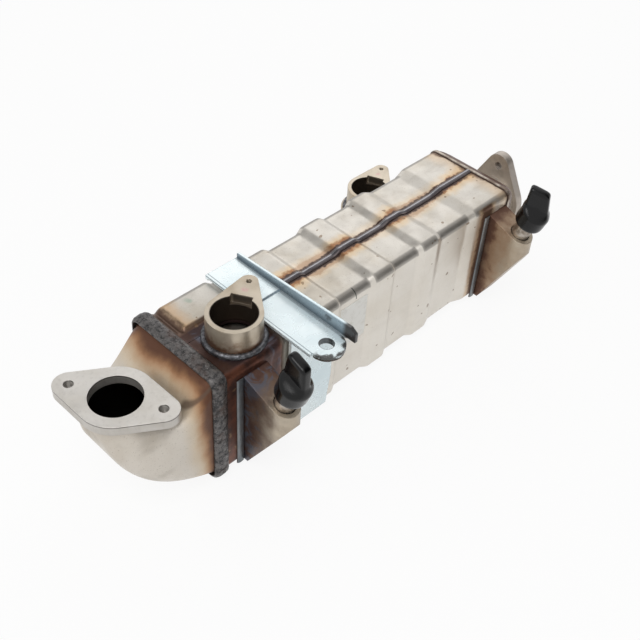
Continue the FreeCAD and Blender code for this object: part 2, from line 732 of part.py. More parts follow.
def spigot_weld(label, x, y, base):
    """Lay the fillet weld round a spigot's base."""
    body = new_body(label, x, y, base)
    sketch = new_sketch(body, label + "_profile", "XZ_Plane")
    inside = dim("port_rim") + "face_gap"
    foot = dim("face_gap") * 2
    size = dim("port_weld")
    middle = size * "weld_chamfer"
    draw_loop(sketch, [
        (inside, foot), (inside + size, foot), (inside + middle, foot + middle),
        (inside, foot + size),
    ])
    add_revolution(body, sketch, label + "_bead")
    return body


def port_hood():
    """Build the box that carries coolant from the shell's flank to the rear spigot."""
    label = "coolant_port_rear_hood"
    roof = -dim("port_rear_drop") - "port_rise"
    base = roof - "port_hood_deep"
    start = dim("half_width") + "face_gap"
    body = new_body(label, REAR_PORT, ZERO, base)
    bend = dim("port_hood_round")
    centre = dim("port_rear_y")
    root = dim("port_hood_root")

    def plan(name, level, shrink, near):
        sketch = new_sketch(body, name, "XY_Plane", level)
        reach = bend - shrink
        draw_loop(sketch, [
            (shrink - root, near), (root - shrink, near),
            (reach, centre, reach, 1), (-reach, centre),
        ])
        return sketch

    outside = plan("hood_plan", ZERO, ZERO, start)
    add_pad(body, outside, "port_hood_deep", "hood_block")
    inside = plan("hood_hollow_plan", dim("port_hood_deep") - "sheet_wall",
                  dim("sheet_wall"), start - "over_cut")
    add_pocket(body, inside, dim("port_hood_deep") - dim("sheet_wall") * 2, "hood_hollow")
    hole = new_sketch(body, "hood_hole_plan", "XY_Plane", "port_hood_deep")
    draw_circle(hole, ZERO, centre, "port_passage")
    add_pocket(body, hole, dim("sheet_wall") * 2, "hood_hole")
    return body


def vent_profile(body, name, shrink, station, out, outside):
    """Draw the side view of a vent hood's hollow, or of what is cut away round the hood."""
    sketch = new_sketch(body, name, "YZ_Plane", station)
    root = -(dim("half_width") + "face_gap") + shrink
    nose = -(dim("half_width") + out + "hood_round" + "over_cut")
    slope = dim("vent_tilt").tangent()
    head = dim("hood_head") - shrink
    tip = head - (root - shrink - nose) * slope
    low = tip - "hood_nose_deep" + shrink
    foot_y = -(dim("half_width") + "hood_foot_out") + shrink
    foot_z = shrink - "hood_foot"
    past = dim("over_cut")
    if outside == "over":
        draw_loop(sketch, [(nose, tip), (root + past, head), (root + past, head + past),
                           (nose, head + past)])
    elif outside == "under":
        draw_loop(sketch, [(nose, low), (nose, foot_z - past), (root, foot_z - past),
                           (root, foot_z), (foot_y, foot_z)])
    else:
        inner = -(dim("half_width") + out) - dim("hood_round") * "hollow_nose"
        share = (inner - foot_y) / (nose - foot_y)
        draw_loop(sketch, [
            (root + past, foot_z + "hollow_foot"), (foot_y, foot_z + "hollow_foot"),
            (inner, foot_z + (low - foot_z) * share),
            (inner, head - (root - shrink - inner) * slope), (root + past, head),
        ])
    return sketch


def vent_hood(label, start, out):
    """Build a vent hood with a round nose and a head that slopes down outward."""
    body = new_body(label)
    bend = dim("hood_round")
    middle = start + bend
    root = -(dim("half_width") + "face_gap")
    centre = -(dim("half_width") + out)
    plan = new_sketch(body, label + "_plan", "XY_Plane", -dim("hood_foot"))
    draw_loop(plan, [
        (middle - bend, root), (middle - bend, centre, bend, 1), (middle + bend, centre),
        (middle + bend, root),
    ])
    add_pad(body, plan, dim("hood_head") + "hood_foot", label + "_block")
    run = bend * 2 + dim("over_cut") * 2
    for side in ("over", "under"):
        cut = vent_profile(body, "%s_%s" % (label, side), ZERO, start - "over_cut", out, side)
        add_pocket(body, cut, run, "%s_%s_cut" % (label, side), reverse=True)
    wall = dim("sheet_wall")
    hollow = vent_profile(body, label + "_inside", wall, start + wall, out, "inside")
    add_pocket(body, hollow, (bend - wall) * 2, label + "_hollow", reverse=True)
    hole = new_sketch(body, label + "_hole_plan", "XY_Plane", "hood_head",
                      (middle, centre))
    draw_circle(hole, ZERO, ZERO, dim("vent_round") + dim("face_gap") * 6)
    add_pocket(body, hole, dim(out) * dim("vent_tilt").tangent() + "vent_round",
               label + "_hole")
    return body


def vent_body(label, start, out):
    """Start a body on a vent hood's head, tilted with the nipple."""
    head = dim("hood_head") - dim(out) * dim("vent_tilt").tangent()
    return new_body(label, start + "hood_round", -(dim("half_width") + out), head,
                    Vector(1, 0, 0), "vent_tilt")


def vent_nipple(label, start, out):
    """Build the short tube that stands on a vent hood."""
    body = vent_body(label, start, out)
    sketch = new_sketch(body, label + "_profile", "XZ_Plane")
    bore, skin = dim("vent_bore"), dim("vent_round")
    draw_loop(sketch, [
        (bore, -dim("sheet_wall")), (skin, -dim("sheet_wall")), (skin, dim("vent_height")),
        (bore, dim("vent_height")),
    ])
    add_revolution(body, sketch, label + "_tube")
    return body


def vent_cap(label, start, out, back):
    """Build a soft cap with a flat pull tab whose tip leans back by a given run."""
    body = vent_body(label, start, out)
    sketch = new_sketch(body, label + "_profile", "XZ_Plane")
    fit = dim("vent_round") + "cap_fit"
    low = dim("cap_lift")
    high = low + "cap_height"
    skin = dim("cap_round")
    draw_loop(sketch, [
        (fit, low), (skin, low), (skin, high - "tab_corner"), (skin - "tab_corner", high),
        (ZERO, high), (ZERO, dim("vent_height") + "cap_fit"),
        (fit, dim("vent_height") + "cap_fit"),
    ])
    add_revolution(body, sketch, label + "_cup")
    tab = new_sketch(body, label + "_tab_face", "YZ_Plane", -dim("tab_thick") / 2)
    root, tip = dim("tab_root") / 2, dim("tab_tip") / 2
    foot = high - "tab_corner"
    top = high + "tab_height"
    corner = dim("tab_corner")
    back = dim(back)
    draw_loop(tab, [
        (-root, foot), (root, foot), (back + tip, top - corner), (back + tip - corner, top),
        (back - tip + corner, top), (back - tip, top - corner),
    ])
    add_pad(body, tab, "tab_thick", label + "_tab")
    return body


def vent_weld(label, start):
    """Lay the upright weld along a vent hood's edge."""
    body = new_body(label, start, -(dim("half_width") + "face_gap"), ZERO)
    sketch = new_sketch(body, label + "_profile", "XY_Plane", -dim("hood_foot"))
    half, crown = dim("hood_weld") / 2, dim("hood_weld_crown")
    edge = -dim("face_gap")
    draw_loop(sketch, [
        (edge, ZERO), (edge - half * 1.6, ZERO), (edge - half * 1.2, -crown * 0.8),
        (edge - half * 0.6, -crown), (edge, -crown * 0.9),
    ])
    add_pad(body, sketch, dim("hood_head") + "hood_foot", label + "_bead")
    return body


def bracket_plate():
    """Build the bracket's top plate with its joggle, rear flange and rounded end."""
    label = "bracket_plate"
    base = dim("half_height") + "plate_lift"
    body = new_body(label, "plate_start", ZERO, base)
    run, sheet_thick = dim("plate_run"), dim("plate_sheet")
    rise = dim("plate_joggle")
    round_end = dim("plate_round")
    end = -(dim("plate_hole_y") + round_end)
    strip = new_sketch(body, label + "_strip", "YZ_Plane")
    draw_loop(strip, [
        (end, ZERO), (-dim("seam_width"), ZERO), (-dim("seam_width") + rise, rise),
        (dim("plate_left") - sheet_thick, rise), (dim("plate_left") - sheet_thick, ZERO),
        (dim("plate_left"), ZERO), (dim("plate_left"), rise + sheet_thick),
        (-dim("seam_width") + rise - dim("plate_sheet") * 0.414, rise + sheet_thick),
        (-dim("seam_width") - dim("plate_sheet") * 0.414, sheet_thick), (end, sheet_thick),
    ])
    add_pad(body, strip, run, label + "_strip_pad")
    wall = new_sketch(body, label + "_flange_face", "YZ_Plane", run)
    top = sheet_thick + "flange_rise"
    draw_loop(wall, [
        (-dim("flange_end"), ZERO), (-dim("seam_width"), ZERO), (-dim("seam_width") + rise, rise),
        (dim("plate_left"), rise), (dim("plate_left"), rise + sheet_thick + "flange_rise_left"),
        (dim("flange_miter") - "flange_end", top), (-dim("flange_end"), top - "flange_drop"),
    ])
    add_pad(body, wall, sheet_thick, label + "_flange")
    past = dim("over_cut")
    corner = new_sketch(body, label + "_end_plan", "XY_Plane", top + past)
    middle = -dim("plate_hole_y")
    centre = dim("plate_hole_x")
    far = end - past
    draw_loop(corner, [
        (-past, middle), (centre - round_end, middle, round_end, 1),
        (centre, end), (centre, far), (-past, far),
    ])
    add_pocket(body, corner, top + past * 2, label + "_end_front")
    other = new_sketch(body, label + "_end_plan_rear", "XY_Plane", sheet_thick + "face_gap")
    side = run + sheet_thick + past
    draw_loop(other, [
        (centre, far), (centre, end, round_end, 1), (centre + round_end, middle),
        (side, middle - "end_slant"), (side, far),
    ])
    add_pocket(body, other, sheet_thick + past, label + "_end_rear")
    hole = new_sketch(body, label + "_hole_plan", "XY_Plane", sheet_thick)
    draw_circle(hole, centre, middle, "plate_hole")
    add_pocket(body, hole, sheet_thick, label + "_hole")
    return body


def bracket_leg():
    """Build the bracket's leg: a tongue under the plate's end, bent down the shell's flank."""
    label = "bracket_leg"
    base = dim("half_height") + "plate_lift" - "face_gap"
    body = new_body(label, ZERO, ZERO, base)
    start, run, thick = dim("leg_start"), dim("leg_run"), dim("plate_sheet")
    side = dim("half_width") + "face_gap"
    foot = base + "leg_foot"
    face = new_sketch(body, label + "_face", "XZ_Plane", side)
    flare = start + run + "leg_flare"
    rear = start + "plate_run" - "plate_sheet" - "leg_lead"
    draw_loop(face, [
        (start, -foot), (start + run, -foot), (flare, -foot * "leg_flare_low"),
        (flare, -foot * "leg_flare_high"), (rear, -thick), (start, -thick),
    ])
    add_pad(body, face, thick, label + "_flank")
    tongue = new_sketch(body, label + "_tongue_plan", "XY_Plane", -thick)
    middle = -dim("plate_hole_y")
    centre = dim("plate_start") + "plate_hole_x"
    reach = dim("plate_round") - "tongue_edge"
    draw_loop(tongue, [
        (start, -side), (centre - reach, middle, reach, 1), (centre + reach, middle),
        (rear, -side),
    ])
    add_pad(body, tongue, thick, label + "_tongue")
    hole = new_sketch(body, label + "_hole_plan", "XY_Plane")
    draw_circle(hole, centre, middle, "plate_hole")
    add_pocket(body, hole, thick, label + "_hole")
    return body


def bracket_weld():
    """Lay the weld that joins the tongue to the plate's rounded end."""
    label = "bracket_weld"
    base = dim("half_height") + "plate_lift" - dim("face_gap") * 2
    centre = dim("plate_start") + "plate_hole_x"
    body = new_body(label, centre, -dim("plate_hole_y"), base)
    sketch = new_sketch(body, label + "_plan", "XY_Plane", -dim("plate_sheet"))
    outer = dim("plate_round") - dim("face_gap") * 8
    inner = dim("plate_round") - "tongue_edge" + dim("face_gap") * 2
    draw_loop(sketch, [
        (-outer, ZERO, outer, 1), (outer, ZERO), (inner, ZERO, inner, -1), (-inner, ZERO),
    ])
    add_pad(body, sketch, "plate_sheet", label + "_bead")
    return body


def flat_oval(sketch, height, half, high):
    """Draw a flat tube's outline, its ends bevelled, about a height."""
    bevel = high * "tube_bevel"
    edge = half - bevel
    draw_loop(sketch, [
        (-edge, height - high), (edge, height - high), (half, height - high + bevel),
        (half, height + high - bevel), (edge, height + high), (-edge, height + high),
        (-half, height + high - bevel), (-half, height - high + bevel),
    ])


def gas_tube(number, height):
    """Build one flat gas tube."""
    label = "gas_tube_%02d" % number
    start = dim("header_inset") - "over_cut"
    body = new_body(label, start, ZERO, height)
    length = AT["shell_end"] - start * 2
    for name, shrink in (("skin", ZERO), ("bore", dim("tube_wall"))):
        sketch = new_sketch(body, "%s_%s" % (label, name), "YZ_Plane")
        flat_oval(sketch, ZERO, dim("tube_half") - shrink, dim("tube_high") - shrink)
        if name == "bore":
            add_pocket(body, sketch, length, label + "_cut", reverse=True)
        else:
            add_pad(body, sketch, length, label + "_pad")
    return body


def tube_fin(number, height):
    """Build the wavy fin inside one gas tube as one wave repeated across it."""
    label = "tube_fin_%02d" % number
    start = dim("header_inset") + "fin_inset"
    body = new_body(label, start, ZERO, height)
    length = AT["shell_end"] - start * 2
    room = dim("tube_half") - dim("tube_high") * 2
    pitch = room * 2 / dim("fin_count")
    high = dim("tube_high") - "tube_wall" - dim("face_gap") * 2
    thick = dim("fin_sheet")
    left = -room
    wave = new_sketch(body, label + "_wave", "YZ_Plane")
    crest, root = high, -high
    flat, lean = pitch * "fin_flat", pitch * "fin_lean"
    bend = thick * "fin_bend"
    draw_loop(wave, [
        (left, root), (left + flat, root), (left + flat + lean, crest - thick),
        (left + flat * 2 + lean, crest - thick), (left + pitch, root),
        (left + pitch, root + thick), (left + flat * 2 + lean + bend, crest),
        (left + flat + lean - bend, crest), (left + flat - bend, root + thick),
        (left, root + thick),
    ])
    pad = add_pad(body, wave, length, label + "_strip")
    doc.recompute()
    pattern = body.newObject("PartDesign::LinearPattern", label + "_waves")
    pattern.Originals = [pad]
    pattern.Direction = (wave, ["H_Axis"])
    pattern.Occurrences = int(dim("fin_count").value)
    bind(pattern, "Length", pitch * (dim("fin_count") - 1))
    bind(pattern, "Occurrences", "fin_count")
    body.Tip = pattern
    return body


def slotted_plate(label, station, thickness, depth):
    """Build a plate across the shell with a slot round every gas tube."""
    body = new_body(label, station, ZERO, ZERO)
    shrink = dim("sheet_wall") + "fit_gap"
    wide = dim("half_width") - depth - shrink
    high = dim("half_height") - depth - shrink
    if label == "tube_plate_front":
        high_top = high - "band_step"
    else:
        high_top = high
    sketch = new_sketch(body, label + "_outline", "YZ_Plane")
    bevel = dim("corner_round") - "sheet_wall"
    draw_loop(sketch, [
        (bevel - wide, -high), (wide - bevel, -high), (wide, bevel - high),
        (wide, high_top - bevel), (wide - bevel, high_top), (bevel - wide, high_top),
        (-wide, high_top - bevel), (-wide, bevel - high),
    ])
    add_pad(body, sketch, thickness, label + "_plate")
    slots = new_sketch(body, label + "_slots", "YZ_Plane")
    for height in TUBE_ROWS:
        flat_oval(slots, height, dim("tube_half") + "fit_gap", dim("tube_high") + "fit_gap")
    add_pocket(body, slots, thickness, label + "_openings", reverse=True)
    return body


def data_label():
    """Build the bare paper label on the shell's flank."""
    face = dim("half_width") - "band_step" + "face_gap"
    body = new_body("data_label", ZERO, ZERO, ZERO)
    sketch = new_sketch(body, "label_outline", "XZ_Plane", face)
    start = AT["recess_b_start"] + "label_inset"
    draw_box(sketch, start, start + "label_length", dim("label_top") - "label_high", "label_top")
    add_pad(body, sketch, "label_sheet", "label_sheet")
    return body


REAR_HOOD = AT["shell_end"] - "hood_edge_rear"
REAR_PORT = AT["shell_end"] - "port_rear_back"
TUBE_ROWS = []
TUBE_PITCH = (dim("half_height") - "tube_margin") * 2 / (dim("tube_count") - 1)
for number in range(int(VALUE["tube_count"])):
    TUBE_ROWS.append(TUBE_PITCH * (number - (VALUE["tube_count"] - 1) / 2)
                     - dim("band_step") / 2)

# Shell and its long welds
shell_left = shell_half("shell_half_left", 1)
shell_right = shell_half("shell_half_right", -1)
shell_windows(shell_left, shell_right)
seam_weld("seam_weld_top", 1)
seam_weld("seam_weld_bottom", -1)
frame_weld("front_shell_weld", -dim("front_lead"), "front_bead", "front_crown")
frame_weld("rear_shell_weld", AT["shell_end"] - dim("rear_bead") / 2, "rear_bead", "rear_crown")

# Gas ducts and flanges
gas_duct("front_diffuser", elbow_sections)
gas_flange("front_flange", -dim("inlet_reach"), ZERO, "inlet_rise", Vector(0, 0, 1), "inlet_turn")
gas_duct("rear_diffuser", cone_sections)
gas_flange("rear_flange", AT["shell_end"] + "outlet_reach", -dim("outlet_shift"), "outlet_rise",
           Vector(0, 1, 0), 90)

# Tube bundle
for number, height in enumerate(TUBE_ROWS, start=1):
    gas_tube(number, height)
    tube_fin(number, height)
slotted_plate("tube_plate_front", "header_inset", "header_plate", ZERO)
slotted_plate("tube_plate_rear", AT["shell_end"] - "header_inset" - "header_plate",
              "header_plate", ZERO)
slotted_plate("baffle_front", AT["recess_b_start"] + "baffle_inset", "baffle_sheet",
              dim("band_step"))
slotted_plate("baffle_rear", AT["recess_c_end"] - "baffle_inset", "baffle_sheet",
              dim("band_step"))

# Coolant spigots
ROOF = dim("half_height") - "band_step"
coolant_spigot("coolant_port_front", "port_front_x", -dim("port_front_y"), ROOF + "port_rise",
               "port_front_turn")
spigot_weld("coolant_port_front_weld", "port_front_x", -dim("port_front_y"), ROOF)
coolant_spigot("coolant_port_rear", REAR_PORT, "port_rear_y", -dim("port_rear_drop"),
               "port_rear_turn")
spigot_weld("coolant_port_rear_weld", REAR_PORT, "port_rear_y",
            -dim("port_rear_drop") - "port_rise")
port_hood()

# Vent hoods with their capped nipples
for name, start in (("front", dim("hood_edge")), ("rear", REAR_HOOD)):
    vent_hood("vent_hood_" + name, start, "vent_out_" + name)
    vent_nipple("vent_nipple_" + name, start, "vent_out_" + name)
    vent_cap("vent_cap_" + name, start, "vent_out_" + name, "tab_back_" + name)
    vent_weld("vent_weld_" + name, start)

# Bracket and label
bracket_plate()
bracket_leg()
bracket_weld()
data_label()

doc.recompute()

# Check and export every sub-part
for item in doc.Objects:
    if "Invalid" in item.State or "Error" in item.State:
        raise ValueError("%s is %s" % (item.Label, item.State))
for item in doc.Objects:
    if item.TypeId != "PartDesign::Body" and not item.Label.endswith("_diffuser"):
        continue
    shape = item.Shape
    if shape.isNull() or not shape.isValid():
        raise ValueError(item.Label + " has no valid shape")
    shape.exportStep("parts/" + item.Label + ".step")
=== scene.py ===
"""Looks of the EGR cooler: pressed steel skins, weld beads, rubber caps and their materials."""
import math
import bmesh
import bpy
from mathutils import Matrix, Vector, noise


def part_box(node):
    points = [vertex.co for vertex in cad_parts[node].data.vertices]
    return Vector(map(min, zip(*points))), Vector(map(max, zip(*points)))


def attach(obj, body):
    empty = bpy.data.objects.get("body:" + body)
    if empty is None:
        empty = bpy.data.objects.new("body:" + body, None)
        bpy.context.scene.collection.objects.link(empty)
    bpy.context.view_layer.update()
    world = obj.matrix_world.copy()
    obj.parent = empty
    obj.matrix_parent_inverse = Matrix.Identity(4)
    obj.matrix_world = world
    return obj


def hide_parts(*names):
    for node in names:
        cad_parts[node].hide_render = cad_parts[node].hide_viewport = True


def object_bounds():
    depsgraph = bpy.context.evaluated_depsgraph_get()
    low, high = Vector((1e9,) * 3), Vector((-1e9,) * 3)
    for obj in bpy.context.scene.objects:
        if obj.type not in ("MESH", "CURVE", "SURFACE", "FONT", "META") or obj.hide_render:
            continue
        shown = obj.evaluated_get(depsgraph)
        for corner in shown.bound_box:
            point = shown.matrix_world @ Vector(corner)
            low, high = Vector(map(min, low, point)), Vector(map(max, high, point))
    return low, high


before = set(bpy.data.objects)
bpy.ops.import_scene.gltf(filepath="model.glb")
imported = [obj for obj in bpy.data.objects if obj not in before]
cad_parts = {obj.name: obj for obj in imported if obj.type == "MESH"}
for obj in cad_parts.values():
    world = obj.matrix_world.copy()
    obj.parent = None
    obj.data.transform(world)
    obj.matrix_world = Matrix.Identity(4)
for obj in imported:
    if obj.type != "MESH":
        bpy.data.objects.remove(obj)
CAD_LOW, CAD_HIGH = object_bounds()

# Driving sizes in millimetres, measured from the front shell weld and the shell's axis
REACH, RISE = 63.5, 46.0
HALF_WIDTH, HALF_HEIGHT, CORNER, WALL = 50.0, 58.3, 7.0, 1.5
STEP, GROOVE, LIP, LAND = 2.8, 3.4, 1.0, 3.0
PANEL_EDGE, PANEL_RAMP, PANEL_SPREAD = 13.0, 2.0, 1.3
SEAM = 0.2
PORT = (42.0, -19.0)
PORT_RIM, PORT_PASSAGE, PORT_RISE = 24.0, 18.0, 26.5
NECK, DUCT_WALL, PLATE = 26.0, 2.0, 9.0
OUT_REACH, OUT_RISE, OUT_SHIFT = 51.0, 8.0, 6.0
HEADER, FALL, CLIMB, RAMP = 66.0, 5.0, 8.5, 14.5
RUNS = [HEADER, FALL, 27.0, CLIMB, 27.0, FALL, 36.0, CLIMB, 21.0, FALL, 30.5, CLIMB, 18.0,
        CLIMB, 38.0, RAMP, 48.0]
EDGES = [sum(RUNS[:count + 1]) for count in range(len(RUNS))]
LENGTH = EDGES[-1]
REAR_PORT = (LENGTH - 24.0, 108.5)
REAR_RIM = -10.6
HOODS = {"front": 24.0, "rear": LENGTH - 29.0}
NOSE, VENT_TILT, HEAD = 13.0, 20.0, 45.0
VENT_OUT = {"front": 35.0, "rear": 30.0}
PLATE_FRONT, PLATE_BACK, PLATE_LIFT, PLATE_SHEET = 68.0, 104.0, 0.8, 3.0
BOLT, BOLT_HOLE = (87.0, -80.0), 6.5

# Turn of the front duct: powers of its edges and its width, then its swell, dip and lean
SWING, SINK, PULL, SQUEEZE, ROUNDING = 1.6, 0.8, 0.75, 5.0, 0.7
SWELL, DIVE, LEAN = 2.0, 8.0, 1.5
# A corner that rounds a box off to a circle stays this much short of the circle
ROUND_GAP = 0.05

# Screw holes: distance from the bore's axis, turn of the row in degrees, and threads as
# hole radius, depth and pitch
HOLE_AWAY, FLANGE_TURN, EAR_TURN, REAR_EAR_TURN = 40.0, 119.0, 31.0, 23.0
FLANGE_THREAD, EAR_THREAD = (4.25, 8.0, 1.25), (2.5, 7.5, 1.0)

# Beads: foot above the sheet, seam's half width and crown, spigot weld's size
BEAD_FOOT, SEAM_HALF, SEAM_CROWN, SPIGOT_BEAD = 0.06, 3.7, 2.1, 4.5

# Shell beads: start, width, crown, lumps and step round the shell
SHELL_BEADS = {"front": (-9.0, 15.0, 4.2, 0.55, 1.1), "rear": (LENGTH - 2.5, 5.0, 1.4, 0.12, 1.4)}

# Vent caps: how far each pull tab leans back, and its turn in degrees
CAPS = {"front": (7.0, 0.0), "rear": (9.0, 26.0)}

# Marks on the sheets, as points of the core frame
PEN, PEN_SLOPE = (157.5, 52.5), 0.17
GREEN_SMUDGE = (40.8, 36.0, 58.3)
PINK_DABS = ((67.0, -4.0, 82.0), (377.0, 119.0, -10.6))
FLANGE_MARK = (PLATE_BACK, -64.5, 70.5)

# Counts, steps and shares of the meshes
STATION, SEAM_STEP, SHELL_ARC, DUCT_ARC, PANEL_STEPS = 1.25, 1.2, 9, 14, 8
FLOOR_SPOTS, TOP_SPOTS, FLANK_SHARES = (12.0, 26.0), (34.0, 24.0), (0.25, 0.5, 0.75)
FOLD_REACH, FOLD_SPOTS = 1.3, 7
ELBOW_STEPS, CONE_STEPS = 44, 30
# Angles in degrees from which a fold stays sharp
SHELL_CREASE, DUCT_CREASE, BEAD_CREASE, SEAM_CREASE = 50.0, 60.0, 70.0, 60.0
CAP_CREASE, THREAD_CREASE = 50.0, 30.0
# Share of its solid's width that a bead takes up
FULL = 0.98
MERGE, BEVEL_SAMPLES = 1e-7, 4

# Tones of the pale sheet, in parts of 255
PALE, PALE_WARM = (206, 201, 193), (190, 182, 169)

# Studio: each dark patch has its direction, outer edge and core as cosines, and what is left
DARK_PATCHES = (((0.54, -0.70, 0.47), 0.70, 0.97, 0.10), ((0.03, 0.49, 0.87), 0.89, 0.985, 0.15))
WHITE, WORLD_TONE, WORLD_STRENGTH = (1.0, 1.0, 1.0, 1.0), (1.0, 0.995, 0.985, 1.0), 0.80
FLOOR_SIZE, FLOOR_TONE, FLOOR_GLOW, FLOOR_GAP = 12.0, (0.93, 0.93, 0.93, 1.0), 0.9, 0.0003
# Lamps: name, place, size and power, all aimed at the object's middle
LAMPS = (("key", (-0.5, -0.4, 1.5), 0.9, 7.5), ("fill", (1.25, 0.95, 0.8), 1.0, 1.8))
MIDDLE = (0.2, 0.0, 0.0)
# Camera: yaw, pitch and roll in degrees, and its place, fitted to the photograph
CAMERA_TURN, CAMERA_PLACE = (42.083, 43.225, 4.107), (-0.26620, -0.44715, 0.56361)
CAMERA_SENSOR, CAMERA_LENS, CAMERA_CLIP = 36.0, 54.414, 0.01


def row(x, y, z):
    """Give a point of the core frame in metres of the row frame."""
    return Vector(((x + REACH) / 1000, y / 1000, (z - RISE) / 1000))


def placed(name, data):
    """Add an object to the scene for its data."""
    made = bpy.data.objects.new(name, data)
    bpy.context.scene.collection.objects.link(made)
    return made


def mesh_object(name, points, faces, crease):
    """Make a smooth-shaded object from points and faces, with sharp folds kept."""
    mesh = bpy.data.meshes.new(name)
    mesh.from_pydata([tuple(point) for point in points], [], faces)
    work = bmesh.new()
    work.from_mesh(mesh)
    bmesh.ops.remove_doubles(work, verts=work.verts, dist=MERGE)
    bmesh.ops.recalc_face_normals(work, faces=work.faces)
    for face in work.faces:
        face.smooth = True
    work.to_mesh(mesh)
    work.free()
    mesh.set_sharp_from_angle(angle=math.radians(crease))
    return placed(name, mesh)


def band_faces(first, second, size):
    """Join two loops of points, given by their first numbers, with a ring of faces."""
    return [(first + spot, first + (spot + 1) % size, second + (spot + 1) % size, second + spot)
            for spot in range(size)]


def sweep(name, loops, crease, closed=False):
    """Skin equal loops into one body: a closed ring, or a run with flat ends."""
    size = len(loops[0])
    points = [point for loop in loops for point in loop]
    faces = []
    last = len(loops) if closed else len(loops) - 1
    for first in range(last):
        faces += band_faces(first * size, (first + 1) % len(loops) * size, size)
    if not closed:
        faces.append(tuple(range(size)))
        faces.append(tuple(range((len(loops) - 1) * size, len(loops) * size)))
    return mesh_object(name, points, faces, crease)


def shell_sweep(name, outers, inners, crease):
    """Skin a thin wall between equal runs of outer and inner outlines."""
    count = len(outers[0])
    size = count * 2
    points, faces = [], []
    for outer, inner in zip(outers, inners):
        points += outer + inner[::-1]
    for first in range(len(outers) - 1):
        faces += band_faces(first * size, (first + 1) * size, size)
    for base in (0, (len(outers) - 1) * size):
        for spot in range(count - 1):
            faces.append((base + spot, base + spot + 1, base + size - 2 - spot,
                          base + size - 1 - spot))
    return mesh_object(name, points, faces, crease)


def finish_piece(piece, material, slot, *nodes):
    """Give a piece its material and body, and hide the nodes that it stands for; the slot is not used.
    """
    piece.data.materials.append(material)
    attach(piece, "root")
    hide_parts(*nodes)


def rough(point, scale, seed=0.0):
    """Give smooth noise between about -1 and 1 at a point in millimetres."""
    return noise.noise(Vector((point[0] * scale + seed, point[1] * scale, point[2] * scale)))


def eased(share):
    """Give a share from 0 to 1 that starts and ends softly."""
    return share * share * (3 - 2 * share)


def colour(display):
    """Give the linear colour of a display colour in parts of 255."""
    linear = []
    for value in display:
        share = value / 255
        linear.append(share / 12.92 if share <= 0.04045 else ((share + 0.055) / 1.055) ** 2.4)
    return tuple(linear) + (1.0,)


# Nodes
class Group:
    """The nodes of a material or world, with short calls that add to them."""

    def __init__(self, owner):
        owner.use_nodes = True
        self.nodes, self.links = owner.node_tree.nodes, owner.node_tree.links

    def fill(self, node, inputs):
        """Link a node's inputs to sockets, or write values into them."""
        for key, value in inputs.items():
            if isinstance(value, bpy.types.NodeSocket):
                self.links.new(value, node.inputs[key])
            else:
                node.inputs[key].default_value = value

    def new(self, kind, inputs=(), **settings):
        """Add a node with its inputs and settings, and give its outputs."""
        node = self.nodes.new(kind)
        for name, value in settings.items():
            setattr(node, name, value)
        self.fill(node, dict(inputs))
        return node.outputs

    def math(self, operation, *values):
        """Work out one operation on numbers or sockets."""
        return self.new("ShaderNodeMath", enumerate(values), operation=operation)[0]

    def fade(self, value, start, stop, low=0.0, high=1.0):
        """Map a value smoothly from one range to another."""
        ends = {"Value": value, "From Min": start, "From Max": stop, "To Min": low, "To Max": high}
        return self.new("ShaderNodeMapRange", ends, interpolation_type="SMOOTHSTEP")[0]

    def shown_share(self):
        """Give the camera rays, and all rays that see the background."""
        path = self.new("ShaderNodeLightPath")
        mirrored = self.math("MAXIMUM", path["Is Glossy Ray"], path["Is Transmission Ray"])
        return path["Is Camera Ray"], self.math("MAXIMUM", path["Is Camera Ray"], mirrored)

    def blend(self, share, first, second, output):
        """Blend two shaders into an output."""
        both = self.new("ShaderNodeMixShader", {0: share, 1: first, 2: second})
        self.new(output, {"Surface": both[0]})


